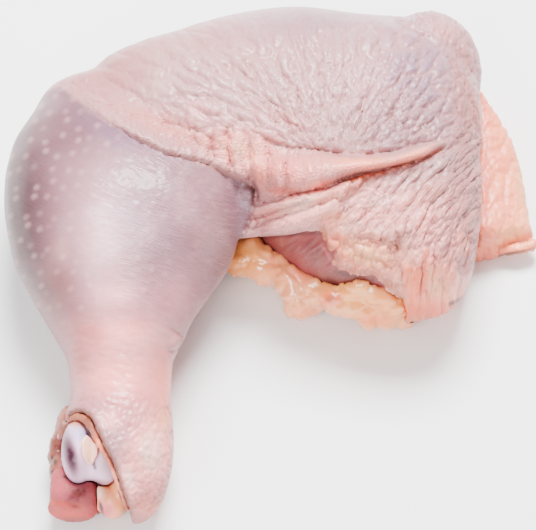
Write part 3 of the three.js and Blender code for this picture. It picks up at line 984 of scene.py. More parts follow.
def pushed_out(tree, geometry, metres):
    """Moves the points along their normals."""
    normal = grow(tree, "GeometryNodeInputNormal").outputs[0]
    offset = grow(tree, "ShaderNodeVectorMath", {0: normal, "Scale": metres}, operation="SCALE").outputs[0]
    return grow(tree, "GeometryNodeSetPosition", {"Geometry": geometry, "Offset": offset}).outputs[0]


def marked(tree, geometry, name, value):
    """Stores a mark on the points, where it is stronger than what is there."""
    inputs = {"Geometry": geometry, "Name": name, "Value": sum_of(tree, "MAXIMUM", read(tree, name), value)}
    return grow(tree, "GeometryNodeStoreNamedAttribute", inputs, data_type="FLOAT",
                domain="POINT").outputs[0]


def new_tree(name, **inputs):
    """A geometry tree with named inputs: a number, a text or a material each."""
    tree = bpy.data.node_groups.new(name, "GeometryNodeTree")
    tree.interface.new_socket("Geometry", in_out="INPUT", socket_type="NodeSocketGeometry")
    for label, value in inputs.items():
        kind = {str: "String", float: "Float", type(None): "Material"}[type(value)]
        socket = tree.interface.new_socket(label.replace("_", " "), in_out="INPUT",
                                           socket_type="NodeSocket" + kind)
        if value is not None:
            socket.default_value = value
    tree.interface.new_socket("Geometry", in_out="OUTPUT", socket_type="NodeSocketGeometry")
    return tree, tree.nodes.new("NodeGroupInput").outputs


def close_tree(tree, geometry, material):
    """Ends a tree with real geometry and its finish."""
    real = grow(tree, "GeometryNodeRealizeInstances", {"Geometry": geometry})
    painted = grow(tree, "GeometryNodeSetMaterial", {"Geometry": real.outputs[0], "Material": material})
    grow(tree, "NodeGroupOutput", {0: painted.outputs[0]})


def apply_tree(piece, tree, **values):
    """Adds the tree as a modifier, with inputs set by their identifiers."""
    modifier = piece.modifiers.new(tree.name, "NODES")
    modifier.node_group = tree
    for item in tree.interface.items_tree:
        key = item.name.replace(" ", "_")
        if item.in_out == "INPUT" and key in values:
            modifier[item.identifier] = values[key]


print("the skin has", len(skin_piece.modifiers), "modifiers so far")

# %% [markdown]
# ### The cushion tree
# Cells are drawn on the flow coordinates, squeezed across the wrinkles and stretched along them,
# with a little noise so that no border is straight. The distance to the border of a cell gives a
# cushion with a sharp crease round it, and a second look at the same cells gives each one its own
# height. The crease is also stored, so that the finish can darken it: partly the skin's own pinker
# tone in its folds, partly painted shade.

# %% The cushion tree
tree, given = new_tree("cushions", Flow="flow", Mask="mask", Cell=2.0, Stretch=2.0, Depth=0.5, Shoulder=0.4,
                       Ragged=0.5, Tone=1.0, Seed=1.0, Skin=None)
flow = read(tree, given["Flow"], "FLOAT_VECTOR")
mask = read(tree, given["Mask"])
size = grow(tree, "ShaderNodeCombineXYZ", {
    0: given["Cell"], 1: times(tree, given["Cell"], given["Stretch"]), 2: 1.0}).outputs[0]
shift = grow(tree, "ShaderNodeCombineXYZ", {
    0: times(tree, given["Seed"], 17.3), 1: times(tree, given["Seed"], 9.1)}).outputs[0]
cells = vector_of(tree, "ADD", vector_of(tree, "DIVIDE", flow, size), shift)
wobble = noise(tree, cells, 1.1, 2.0, "Color", noise_dimensions="2D")
wobble = vector_of(tree, "SUBTRACT", wobble, (0.5, 0.5, 0.5))
scaled = grow(tree, "ShaderNodeVectorMath", {0: wobble, "Scale": given["Ragged"]},
              operation="SCALE").outputs[0]
cells = vector_of(tree, "ADD", cells, scaled)
border = cells_of(tree, cells, "DISTANCE_TO_EDGE")["Distance"]
shade = grow(tree, "ShaderNodeSeparateXYZ", {0: cells_of(tree, cells)["Color"]}).outputs[0]
slope = sum_of(tree, "SUBTRACT", 1.0, sum_of(tree, "DIVIDE", border, given["Shoulder"], clamp=True))
valley = sum_of(tree, "POWER", slope, 2.0)
height = sum_of(tree, "SUBTRACT", sum_of(tree, "MULTIPLY_ADD", shade, 0.5, 0.5), valley)
reach = times(tree, times(tree, mask, given["Depth"]), MM)
moved = pushed_out(tree, given["Geometry"], times(tree, height, reach))
# the crease mark, which the finishes turn into darker colour: partly pinker skin, partly painted shade
line = times(tree, sum_of(tree, "POWER", slope, 3.0), times(tree, mask, given["Tone"]))
close_tree(tree, marked(tree, moved, "crease", line), given["Skin"])
cushions = tree
print("cushion tree:", len(tree.nodes), "nodes")

# %% [markdown]
# ### The follicle tree
# Feathers leave a pale raised dot each, in staggered rows. The same flow idea places them: cells on
# sheared coordinates are a staggered lattice, from which the scatter moves them, and the distance
# to a cell's middle raises a dot there. The dots are stored too, for their paler colour.

# %% The follicle tree
tree, given = new_tree("follicles", Flow="flow", Mask="mask", Spacing=4.5, Radius=0.9, Height=0.25,
                       Scatter=0.35, Seed=1.0, Skin=None)
flow = read(tree, given["Flow"], "FLOAT_VECTOR")
mask = read(tree, given["Mask"])
parts = grow(tree, "ShaderNodeSeparateXYZ", {0: flow}).outputs
sheared = grow(tree, "ShaderNodeCombineXYZ", {
    0: sum_of(tree, "MULTIPLY_ADD", parts[1], 0.25, parts[0]), 1: parts[1]}).outputs[0]
size = grow(tree, "ShaderNodeCombineXYZ", {0: given["Spacing"], 1: given["Spacing"], 2: 1.0}).outputs[0]
shift = grow(tree, "ShaderNodeCombineXYZ", {0: given["Seed"], 1: given["Seed"]}).outputs[0]
cells = vector_of(tree, "ADD", vector_of(tree, "DIVIDE", sheared, size), shift)
centre = cells_of(tree, cells, Randomness=given["Scatter"])
share = sum_of(tree, "DIVIDE", times(tree, centre["Distance"], given["Spacing"]), given["Radius"],
               clamp=True)
dot = sum_of(tree, "POWER", sum_of(tree, "SUBTRACT", 1.0, times(tree, share, share)), 1.5)
shade = grow(tree, "ShaderNodeSeparateXYZ", {0: centre["Color"]}).outputs[0]
dot = times(tree, times(tree, dot, sum_of(tree, "MULTIPLY_ADD", shade, 0.7, 0.3)), mask)
moved = pushed_out(tree, given["Geometry"], times(tree, times(tree, dot, given["Height"]), MM))
close_tree(tree, marked(tree, moved, "pore", dot), given["Skin"])
follicles = tree
print("follicle tree:", len(tree.nodes), "nodes")

# %% [markdown]
# ## The finish of raw skin
# Raw skin is thin and moist: light goes in and comes out pinker, and a wet film gives small sharp
# glints. The colour comes from painted stains on the points, creases are pinker and darker, partly
# as painted shade, the follicle dots paler, and the finest grain is a bump that follows the same
# flow as the wrinkles, with fine darker lines along it as painted shade.

# %% Helpers for finishes
def tinted(tree, factor, first, second):
    """Mixes two colours."""
    return grow(tree, "ShaderNodeMix", {"Factor": factor, 6: first, 7: second}, data_type="RGBA").outputs[2]


def new_finish(name, **settings):
    """A material with one Principled shader and constants on its own sockets."""
    finish = bpy.data.materials.new(name)
    finish.use_nodes = True
    shader = finish.node_tree.nodes["Principled BSDF"]
    for label, value in settings.items():
        shader.inputs[label.replace("_", " ")].default_value = value
    return finish, finish.node_tree, shader.inputs


def attribute(tree, name, output="Fac"):
    """An attribute of the points, in a finish."""
    return grow(tree, "ShaderNodeAttribute", attribute_name=name).outputs[output]


def object_noise(tree, scale, detail):
    """Noise on Object coordinates, which are metres."""
    return noise(tree, grow(tree, "ShaderNodeTexCoord").outputs["Object"], scale, detail)


def bumped(tree, shader, height, deep, strength=1.0):
    """Bump of a height map; deep is the relief in mm."""
    inputs = {"Height": height, "Distance": deep * MM, "Strength": strength}
    tree.links.new(grow(tree, "ShaderNodeBump", inputs).outputs[0], shader["Normal"])


print("finishes so far:", len(bpy.data.materials))

# %% [markdown]
# ### Colour and grain of the skin
# The painted tint is mottled twice, finely and broadly. Darker creases, partly painted shade, and
# paler dots are mixed over it by the marks that the trees left on the points. The grain is cells on
# stretched lengths: their borders give fine darker lines, which are painted shade, and a bump, which
# fade where the mark "even" is low.

# %% The skin finish
raw_skin, tree, shader = new_finish(
    "raw_skin", Roughness=0.44, Specular_IOR_Level=0.35, Subsurface_Weight=0.2,
    Subsurface_Radius=(1.0, 0.4, 0.25), Subsurface_Scale=0.0012, Coat_Weight=0.26, Coat_Roughness=0.17)
tint = attribute(tree, "tint", "Color")
grain = attribute(tree, "grain", "Vector")
mottle = vector_of(tree, "MULTIPLY_ADD", object_noise(tree, 150.0, 3.0), (0.2, 0.7, 0.6), (0.9, 0.65, 0.7))
veil = vector_of(tree, "MULTIPLY_ADD", object_noise(tree, 50.0, 2.0), (0.3, 0.6, 0.5), (0.85, 0.7, 0.75))
tint = vector_of(tree, "MULTIPLY", vector_of(tree, "MULTIPLY", tint, mottle), veil)
# creases get a darker pink, partly the skin's own tone and partly painted shade; follicle dots a paler pink
for mark, share, colour in (("crease", 0.95, (0.43, 0.19, 0.19, 1)), ("pore", 0.24, (0.84, 0.47, 0.46, 1))):
    tint = tinted(tree, times(tree, attribute(tree, mark), share, clamp=True), tint, colour)
fine_edge = times(tree, cells_of(tree, grain, "DISTANCE_TO_EDGE")["Distance"], 2.2, clamp=True)
fine_noise = noise(tree, grain, 2.3, 3.0, noise_dimensions="2D")
# fine darker lines along the cell borders of the grain: painted shade
fine_line_shade = times(tree, sum_of(tree, "SUBTRACT", 1.0, fine_edge),
                  sum_of(tree, "MULTIPLY_ADD", attribute(tree, "even"), 0.17, 0.03))
tint = tinted(tree, fine_line_shade, tint, (0.42, 0.2, 0.2, 1))
tree.links.new(tint, shader["Base Color"])
fine = sum_of(tree, "MULTIPLY_ADD", fine_noise, 0.8, fine_edge)
bumped(tree, shader, times(tree, fine, attribute(tree, "even")), 0.2, 0.8)
print("finish:", raw_skin.name, len(tree.nodes), "nodes")

# %% [markdown]
# ### Running the trees
# Each zone has its own size, stretch and depth of cushions, so each takes one modifier with the
# same tree and other values. Rows of dots on the drumstick come last, then it is made a plain mesh.

# %% Wrinkles and follicles
for flow_name, mask_name, cell, stretch, depth, shoulder, ragged, tone, seed in (
        ("fan", "thigh_near", 2.2, 3.4, 1.3, 0.42, 1.0, 1.0, 1.0),
        ("fan", "thigh_far", 1.5, 7.0, 1.1, 0.4, 0.9, 1.0, 2.0),
        ("fan", "thigh_edge", 1.2, 8.0, 0.5, 0.4, 0.9, 0.5, 3.0),
        ("upright", "thigh", 2.4, 1.0, 0.5, 0.45, 1.0, 0.35, 11.0),
        ("hang", "hanging", 3.0, 3.0, 1.0, 0.42, 1.3, 0.6, 4.0),
        ("hang", "hanging", 1.6, 2.4, 0.5, 0.42, 1.2, 0.45, 13.0),
        ("hang", "tassel", 2.8, 5.0, 0.85, 0.42, 0.8, 0.3, 17.0),
        ("strand", "strands", 1.4, 4.5, 0.45, 0.42, 1.1, 0.5, 16.0),
        ("upright", "lip", 2.6, 4.5, 0.4, 0.4, 0.9, 0.3, 5.0),
        ("upright", "lip", 1.8, 1.8, 0.3, 0.42, 1.2, 0.3, 15.0),
        ("upright", "hem", 2.4, 2.2, 0.5, 0.42, 0.9, 0.5, 12.0),
        ("leg", "drum", 1.3, 6.0, 0.17, 0.4, 0.9, 0.15, 6.0),
        ("leg", "shank", 2.8, 2.2, 0.22, 0.4, 1.0, 0.25, 7.0),
        ("upright", "lobe", 2.0, 1.1, 0.5, 0.45, 1.0, 0.12, 10.0),
        ("upright", "torn", 4.4, 1.1, 1.3, 0.42, 1.5, 0.4, 8.0),
        ("upright", "torn", 2.0, 1.3, 0.5, 0.42, 1.2, 0.4, 14.0),
        ("upright", "bump", 1.7, 3.2, 0.8, 0.4, 1.0, 0.6, 9.0)):
    apply_tree(skin_piece, cushions, Flow="flow_" + flow_name, Mask="mask_" + mask_name, Cell=cell,
               Stretch=stretch, Depth=depth, Shoulder=shoulder, Ragged=ragged, Tone=tone, Seed=seed,
               Skin=raw_skin)
keep(skin_piece, "mask_dots", drum * (1 - shank) * outer * (0.4 + 0.6 * ramp(u + 0.25 * v, 270, 190)))
apply_tree(skin_piece, follicles, Flow="flow_upright", Mask="mask_dots", Spacing=4.2, Radius=1.25,
           Height=0.16, Scatter=0.65, Seed=3.0, Skin=raw_skin)
plain(skin_piece)
print("skin after relief:", len(skin_piece.data.vertices), "points")

# %% [markdown]
# ### Stains
# The colour of the skin changes slowly: lilac over the thick muscle, mauve at the drumstick's side,
# peach where fat lies under the folds, cream at the torn edge, red in the pit. Some stains are partly
# light and shade: a painted highlight down the drumstick's front, and painted shade that darkens its
# side and the thigh's far edge. Each is a soft round stain with a place and size in picture points,
# painted over the ones before it.

# %% Helpers for painting
BRIGHTNESS = 5.0  # radiance of a white surface under the soft boxes


def albedo(colour):
    """The finish colour that comes out as this screen colour (0 to 255). The renderer's film curve
    dims and greys bright tones, so they are made brighter and deeper here by the same amount."""
    tone = np.asarray(colour, float) / 255
    grey = tone.mean(-1, keepdims=True)
    light = np.polyval((14.906, -23.245, 16.841, -6.044), grey)
    depth = np.polyval((28.235, -10.284, -9.538, 8.644), grey)
    return np.clip(np.exp(light + depth * (tone - grey)) / BRIGHTNESS, 0.01, 0.95)


def painted(base, stains, at, lines=()):
    """Stains: middle, half sizes and tilt, colour, strength. Lines: knots, half width, colour, strength."""
    paint = np.tile(np.asarray(base, float), (len(at), 1))
    for (x, y), (wide, high, tilt), colour, strength in stains:
        c, k = math.cos(math.radians(tilt)), math.sin(math.radians(tilt))
        dx, dy = at[:, 0] - x, at[:, 1] - y
        far = ((dx * c + dy * k) / wide) ** 2 + ((dy * c - dx * k) / high) ** 2
        weight = (strength * np.exp(-far))[:, None]
        paint += (np.asarray(colour) - paint) * weight
    for knots, width, colour, strength in lines:
        line = smooth_line(knots)
        gap = np.full(len(at), 1e9)
        for (ax, ay, _), (bx, by, _) in zip(line, line[1:]):
            ex, ey = bx - ax, by - ay
            t = np.clip(((at[:, 0] - ax) * ex + (at[:, 1] - ay) * ey) / (ex * ex + ey * ey), 0, 1)
            gap = np.minimum(gap, np.hypot(at[:, 0] - ax - t * ex, at[:, 1] - ay - t * ey))
        weight = (strength * np.exp(-(gap / width) ** 2))[:, None]
        paint += (np.asarray(colour) - paint) * weight
    return paint


print("a white screen colour needs the paint", albedo((255, 255, 255)).round(2))

# %% [markdown]
# ### Stains of the thigh
# Each row is the middle, the half sizes and the tilt, the screen colour and the strength. Large
# ones come first, small ones that change a detail come last.

# %% Stains of the thigh
THIGH_PALE = (221, 203, 204)
SKIN_STAINS = [
    ((110, 75), (50, 24, -30), (219, 188, 187), 0.85),      # pink edge over the knee
    ((218, 34), (9, 8, 0), (214, 178, 180), 0.6),
    ((420, 74), (34, 55, 10), (196, 177, 194), 0.95),       # lilac over the hip
    # darker lilac along the far top edge: partly the skin's lilac, partly painted shade where it turns away
    ((320, 20), (70, 18, 0), (208, 192, 200), 0.8),
    ((400, 125), (45, 24, 0), (202, 179, 184), 0.85),
    ((465, 95), (13, 62, -8), (214, 176, 172), 0.9),       # the band beside the flap
    ((440, 30), (26, 18, 20), (226, 204, 203), 0.9),
    ((368, 88), (24, 22, 0), (230, 216, 218), 0.6),
    ((170, 128), (60, 12, 20), (234, 198, 192), 0.85),      # the lip
    ((245, 150), (34, 22, 20), (255, 223, 215), 0.9),
    ((295, 170), (34, 18, 0), (240, 197, 190), 0.9),
    ((285, 122), (30, 14, 25), (228, 198, 196), 0.6),
    ((360, 163), (40, 9, 0), (244, 202, 186), 0.9),        # the pinch fold
    ((415, 155), (28, 6, -20), (248, 212, 198), 0.9),
    ((300, 205), (46, 12, -15), (254, 228, 221), 0.9),     # the strands
    ((295, 222), (32, 9, -12), (240, 214, 212), 0.85),
    ((385, 205), (40, 20, 0), (250, 230, 228), 0.9),
    ((425, 225), (26, 34, 0), (236, 206, 202), 0.9),
    ((435, 285), (36, 28, 0), (255, 217, 202), 0.95),       # the peach lower corner
    ((365, 255), (38, 22, 15), (254, 219, 198), 0.95),     # the torn patch
    ((352, 186), (22, 9, -20), (232, 186, 168), 0.7),
    ((462, 215), (14, 50, 0), (218, 182, 180), 0.8),
    ((412, 310), (20, 11, 0), (250, 182, 132), 0.85),       # orange where the corner rests
    ((442, 311), (18, 10, 0), (246, 180, 148), 0.85),
    ((336, 242), (10, 9, 0), (252, 196, 156), 0.7),
    ((334, 219), (14, 9, -15), (252, 214, 196), 0.7),
    ((370, 214), (12, 8, 0), (240, 204, 194), 0.5), ((400, 214), (14, 9, 0), (228, 192, 188), 0.7),
    ((428, 190), (14, 11, 0), (222, 180, 168), 0.7), ((454, 204), (10, 20, 0), (230, 200, 196), 0.6),
    ((462, 240), (11, 16, 0), (242, 204, 188), 0.7),
    ((320, 185), (11, 5, -10), (250, 194, 180), 0.7), ((342, 195), (9, 6, -20), (250, 228, 224), 0.6),
    ((281, 191), (16, 5, 0), (240, 182, 168), 0.6), ((262, 175), (8, 10, 0), (240, 190, 170), 0.6),
    ((200, 110), (16, 8, 25), (244, 224, 223), 0.7),
]
print(len(SKIN_STAINS), "stains on the thigh")

# %% [markdown]
# ### Stains of the drumstick
# The drumstick is mauve at the side, darker there partly as painted shade, and pale in front, where
# a band of painted highlight runs down; it is pink where it narrows, and cream over the hock. The row
# of small dark stains at the left stands for the purple blotches there.

# %% Stains of the drumstick
DRUM_MAUVE = (204, 178, 184)
DRUM_STAINS = [
    # mauve side and lower left edge: partly the skin's mauve, partly painted shade
    ((18, 200), (26, 80, 0), (144, 76, 94), 0.95),       # mauve side
    ((45, 292), (34, 34, 20), (196, 150, 152), 0.85),
    ((24, 186), (11, 8, 0), (140, 84, 100), 0.55), ((20, 209), (9, 7, 0), (138, 82, 98), 0.55),
    ((24, 236), (10, 7, 10), (138, 82, 98), 0.6), ((31, 254), (10, 7, 20), (144, 88, 102), 0.55),
    ((28, 272), (10, 7, 20), (150, 96, 108), 0.5), ((40, 288), (12, 8, 30), (160, 108, 118), 0.5),
    ((38, 155), (12, 8, -20), (158, 108, 122), 0.4), ((60, 142), (14, 8, -20), (166, 118, 132), 0.4),
    ((150, 140), (40, 12, 22), (190, 168, 190), 0.4), ((168, 250), (20, 24, 30), (196, 172, 182), 0.5),
    ((70, 125), (40, 26, -20), (182, 138, 152), 0.85),
    ((112, 128), (36, 16, 24), (186, 153, 177), 0.95),      # lilac under the lip
    # painted highlight: a pale band down the front of the drumstick
    ((105, 235), (38, 62, 5), (238, 228, 230), 0.95),      # pale front
    ((150, 200), (40, 40, 0), (214, 200, 210), 0.6),
    ((240, 205), (14, 30, 0), (186, 156, 174), 0.85),
    ((214, 240), (22, 34, 20), (210, 186, 190), 0.8),
    ((178, 295), (26, 28, 0), (228, 200, 205), 0.8),
    ((120, 330), (54, 22, 0), (240, 212, 212), 0.9),       # pink where the leg narrows
    ((90, 335), (16, 14, 0), (222, 178, 176), 0.6),
    ((118, 378), (60, 40, 0), (242, 210, 209), 0.95),
    ((166, 384), (14, 30, 0), (238, 198, 190), 0.8),
    ((150, 455), (30, 44, 0), (254, 231, 227), 0.95),      # cream lobe over the hock
    ((150, 510), (26, 16, 0), (238, 198, 188), 0.8),
    ((166, 420), (10, 12, 0), (240, 216, 190), 0.5),
    # the first stain here carries the painted highlight of the front further down
    ((116, 294), (32, 18, 0), (244, 228, 229), 0.8), ((62, 250), (11, 16, 0), (226, 206, 206), 0.6),
    ((186, 206), (16, 22, 0), (224, 208, 212), 0.6), ((150, 230), (12, 14, 0), (230, 216, 222), 0.5),
    ((80, 360), (8, 15, 0), (222, 176, 172), 0.7), ((110, 420), (13, 11, 0), (250, 230, 228), 0.7),
    ((129, 480), (8, 20, -15), (250, 233, 230), 0.85),
]
print(len(DRUM_STAINS), "stains on the drumstick")

# %% [markdown]
# ### Lines
# Some colours run along a fold or an edge: orange under the fold and dark red in the pit, both
# partly painted shade; darker lines in the creases under the lip, over the fold, across the thigh
# and in a notch of the torn patch, partly the skin's pinker tone and partly painted shade; a pink
# painted shadow along the drumstick's edge below the pit; and tan where the skin ends at the hock.
# A line has knots, a half width, a colour and a strength.

# %% Lines
# orange and darker under the pinch fold: partly the skin's orange, partly painted shade of the under-crease
SKIN_LINES = [([(338, 184), (347, 179), (359, 175), (372, 172), (393, 167), (416, 161), (428, 157),
                (441, 149)], 1.5, (226, 158, 130), 0.8),
              ([(350, 180), (366, 176), (384, 172)], 2.0, (246, 166, 112), 0.75),
              # dark red in the pit: partly the red of the tissue, partly painted shade
              ([(248, 183), (254, 190), (255, 199)], 3.4, (122, 18, 30), 0.95),
              # pink painted shadow along the drumstick's edge below the pit
              ([(255, 202), (251, 218), (246, 232)], 1.8, (206, 150, 150), 0.6),
              ([(478, 100), (481, 150), (481, 258)], 5.0, (226, 176, 170), 0.7),
              # darker line in the crease under the lip: partly pinker skin, partly painted shade
              ([(136, 137), (168, 152), (194, 158), (226, 172), (244, 180), (252, 188)], 2.2,
               (196, 132, 120), 0.8),
              # darker lines in the crease over the fold and in a thigh crease: partly pinker skin, partly
              # painted shade
              ([(266, 139), (287, 147), (315, 149), (334, 153), (357, 157)], 1.8, (214, 160, 150), 0.6),
              ([(271, 108), (289, 121), (302, 128)], 2.2, (214, 160, 155), 0.6),
              ([(416, 270), (417, 298)], 3.5, (250, 180, 136), 0.85),
              ([(408, 268), (406, 292)], 2.6, (248, 182, 132), 0.6),
              ([(426, 250), (425, 292)], 2.4, (248, 186, 150), 0.8),
              # darker line in the notch of the torn patch: painted shade
              ([(396, 231), (400, 238), (398, 248)], 1.4, (200, 146, 116), 0.7),
              ([(344, 256), (352, 262)], 2.4, (236, 190, 150), 0.5),
              ([(390, 286), (400, 296), (404, 306)], 2.4, (232, 178, 140), 0.6),
              ([(322, 231), (329, 246), (336, 256), (338, 270), (348, 271), (377, 275), (392, 290),
                (404, 298)], 3.2, (226, 178, 150), 0.8),
              ([(450, 304), (455, 302)], 1.6, (176, 84, 62), 0.9),
              ([(458, 301), (462, 298)], 1.6, (176, 84, 62), 0.9),
              ([(70, 413), (83, 412), (93, 423), (102, 441), (114, 465), (122, 489), (130, 513)], 2.6,
               (196, 138, 112), 0.85)]
print(len(SKIN_LINES), "lines")

# %% [markdown]
# ### Painting the skin
# Thigh and drumstick are painted apart and joined over a soft border, so that the stains of one
# never reach the other. Lines are laid over both, where the picture sees the skin.

# %% Painting the skin
def soft_union(first, second, share):
    return first * (1 - share[:, None]) + second * share[:, None]


places, normals = points_of(skin_piece)
spots = picture(places)
drum = within(DRUM, 5)
below = np.maximum(drum, ramp(v, 320, 345) * ramp(u, 215, 200))
paint = soft_union(painted(THIGH_PALE, SKIN_STAINS, spots), painted(DRUM_MAUVE, DRUM_STAINS, spots), below)
for knots, width, colour, strength in SKIN_LINES:
    over = painted((0, 0, 0), [], spots, [(knots, width, (1, 1, 1), strength)])[:, :1] * faces_view[:, None]
    paint += (np.asarray(colour) - paint) * over
tint = np.concatenate([albedo(paint), np.ones((len(paint), 1))], 1)
keep(skin_piece, "tint", tint)
print("painted", len(paint), "points")

# %% [markdown]
# ### Grain
# The bump needs lengths too. They follow the zones in the picture, and the height and the angle
# round the leg on the far sides. Where two zones meet, the lengths jump, so the mark "even" lowers
# the grain there. It is low on the drumstick as well, whose skin is smoother.

# %% Grain
def flow_at(name, across, along):
    return np.stack(FLOWS[name], -1) / (across, along)


grain = np.where((hanging > 0.5)[:, None], flow_at("hang", 0.9, 2.6), flow_at("fan", 0.8, 2.2))
grain = np.where((lip_zone > 0.5)[:, None], flow_at("upright", 1.2, 0.9), grain)
grain = np.where((below > 0.5)[:, None], flow_at("leg", 0.7, 5.0), grain)
away = faces_view < 0.5  # the far sides, which the picture doesn't show
turn = np.arctan2(places[:, 0] + 10, places[:, 1] - 20) * 55
grain = np.where(away[:, None], np.stack([turn / 1.4, places[:, 2] / 0.9], -1), grain)
border = np.minimum.reduce([np.abs(2 * zone - 1) for zone in (hanging, lip_zone, below)])
border = np.where(away, 1.0, border) * np.abs(2 * faces_view - 1)
smooth = 0.82 - 0.6 * ramp(u, 100, 160) * ramp(v, 320, 260)
keep(skin_piece, "even", border * (1 - below * (1 - away) * smooth))
keep(skin_piece, "grain", np.concatenate([grain, np.zeros((len(grain), 1))], 1))
print("grain on", int(away.sum()), "points of the far sides")

# %% [markdown]
# ## The other layers
# Meat, fat, the flap of back skin and the end of the shin are made the same way as the skin: the
# solid gives a field, the field is softened and added to, and the result is meshed, wrinkled by the
# same trees and painted with stains. Small parts use a finer lattice of their own.

# %% Helpers for the layers
def own_lattice(node, voxel, pad=4.0):
    """First index and size of a finer lattice round one solid."""
    low, high = (np.array(corner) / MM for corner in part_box(node))
    first = np.floor((low - pad) / voxel).astype(int)
    return first, np.ceil((high + pad) / voxel).astype(int) - first


def fine_field(node, voxel, reach=3.0):
    points, faces = merged(node)
    first, count = own_lattice(node, voxel)
    grid = vdb.FloatGrid.createLevelSetFromPolygons(points, triangles=faces, halfWidth=reach / voxel,
                                                    transform=vdb.createLinearTransform(voxelSize=voxel))
    values = np.empty(tuple(count), np.float32)
    grid.copyToArray(values, ijk=tuple(int(i) for i in first))
    mesh = np.meshgrid(*((first[i] + np.arange(count[i])) * voxel for i in range(3)), indexing="ij")
    return values, np.stack(mesh, -1), first


def egg(points, middle, radii):
    """Field of an ellipsoid."""
    share = np.linalg.norm((points - middle) / radii, axis=-1)
    return ((share - 1) * min(radii)).astype(np.float32)


def at_height(x, y, height):
    """The point of a sight line at a height over the table, in mm."""
    way = sight((x, y))
    return EYE + way * (height - EYE[2]) / way[2]


print("picture point 300, 290 at 10 mm over the table:", at_height(300, 290, 10.0).round(1))

# %% [markdown]
# ### Finishing a layer
# All layers are painted like the skin and get the same kind of moist finish, with their own
# mottles, fine grain and gloss. Then each is tied to the body and takes the place of its solid.

# %% Finishing a layer
def finish_layer(piece, node, finish, base, stains=(), lines=()):
    """Paints a piece, gives it its finish and puts it in the place of its solid."""
    points = picture(points_of(piece)[0])
    paint = painted(base, stains, points, lines)
    keep(piece, "tint", np.concatenate([albedo(paint), np.ones((len(paint), 1))], 1))
    if not piece.data.materials:
        piece.data.materials.append(finish)
    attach(piece, "root")
    if node:
        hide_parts(node)
    print(piece.name, "points", len(piece.data.vertices))


def start_marks(piece, flow, mask):
    """The attributes that the trees read and write."""
    keep(piece, "flow", np.concatenate([flow, np.zeros((len(flow), 1))], 1))
    keep(piece, "mask", mask)
    keep(piece, "crease", np.zeros(len(mask)))
    keep(piece, "pore", np.zeros(len(mask)))


def flesh_finish(name, mottle_colour, mottle_scale, mottle, streak=(1, 1, 1), grain_scale=900.0,
                 grain_deep=0.15, crease_shade_and_dot_colour=(0.30, 0.08, 0.05, 1), **settings):
    """A moist finish: painted tint, mottles stretched by streak, creases darkened partly as painted shade,
    coloured dots, and a fine bump.
    """
    finish, tree, shader = new_finish(name, **settings)
    place = grow(tree, "ShaderNodeTexCoord").outputs["Object"]
    place = vector_of(tree, "MULTIPLY", place, streak)
    spots = sum_of(tree, "SUBTRACT", noise(tree, place, mottle_scale, 3.0), 0.42, clamp=True)
    spots = times(tree, spots, mottle * 4, clamp=True)
    tint = tinted(tree, spots, attribute(tree, "tint", "Color"), mottle_colour)
    # creases take the darker colour, partly the flesh's own tone and partly painted shade; dots take it as
    # their own colour
    for mark, share in (("crease", 0.6), ("pore", 0.5)):
        tint = tinted(tree, times(tree, attribute(tree, mark), share, clamp=True), tint, crease_shade_and_dot_colour)
    tree.links.new(tint, shader["Base Color"])
    grain = noise(tree, place, grain_scale, 3.0)
    bumped(tree, shader, sum_of(tree, "ADD", grain, spots), grain_deep, 0.8)
    return finish


print("layers to make:", sorted(set(frame["nodes"]) - {"skin"}))

# %% [markdown]
# ### Meat
# The muscle in the tear is mauve pink and shows its fibres, which run up and to the right, with a
# few white threads of connective tissue over them. Only that window needs fine faces.

# %% Meat
meat = np.maximum(lining + CLEAR, meat_solid - 0.3)
meat_piece = mesh_of(meat, "thigh_meat")
places, normals = points_of(meat_piece)
window = within([(232, 225), (325, 225), (345, 245), (412, 290), (412, 330), (232, 300)], 4,
                picture(places))
window *= ramp(normals[:, 2], -0.3, 0.1)
thin(meat_piece, np.where(window > 0.2, 0.0, 1.0), 40000)
raw_meat = flesh_finish("raw_meat", (0.30, 0.07, 0.08, 1), 260.0, 0.25, streak=(1.0, 0.45, 0.6),
                        Roughness=0.45, Specular_IOR_Level=0.3, Subsurface_Weight=0.2,
                        Subsurface_Radius=(1.0, 0.3, 0.25), Subsurface_Scale=0.001, Coat_Weight=0.15,
                        Coat_Roughness=0.12)
places, normals = points_of(meat_piece)
spots = picture(places)
grain_way = np.radians(38)
across = (spots[:, 0] * math.sin(grain_way) + spots[:, 1] * math.cos(grain_way)) * POINT
along = (spots[:, 0] * math.cos(grain_way) - spots[:, 1] * math.sin(grain_way)) * POINT
start_marks(meat_piece, np.stack([across, along], -1), ramp(normals[:, 2], -0.3, 0.1))
apply_tree(meat_piece, cushions, Cell=1.7, Stretch=7.0, Depth=0.22, Shoulder=0.4, Ragged=0.35, Tone=0.5,
           Seed=2.0, Skin=raw_meat)
plain(meat_piece)
MEAT_LINES = [([(281, 237), (282, 246)], 0.9, (214, 170, 166), 0.8),
              ([(316, 238), (310, 250), (302, 262)], 0.8, (206, 150, 148), 0.7),
              ([(322, 246), (327, 253), (331, 261)], 1.6, (226, 190, 186), 0.7),
              ([(296, 240), (290, 252)], 0.7, (196, 136, 134), 0.5),
              ([(258, 238), (268, 248), (274, 258)], 2.5, (206, 120, 96), 0.6),
              ([(336, 272), (352, 276), (372, 280)], 2.5, (150, 66, 56), 0.7),
              ([(240, 240), (262, 238), (300, 234), (321, 233)], 1.6, (134, 66, 68), 0.6)]
finish_layer(meat_piece, "meat", raw_meat, (212, 130, 136),
             [((342, 281), (28, 6, 5), (168, 90, 80), 0.85),
              ((316, 256), (10, 12, 0), (190, 124, 124), 0.6),
              ((311, 244), (8, 7, 0), (188, 104, 112), 0.6),
              ((280, 248), (18, 10, 0), (182, 112, 112), 0.5)], MEAT_LINES)

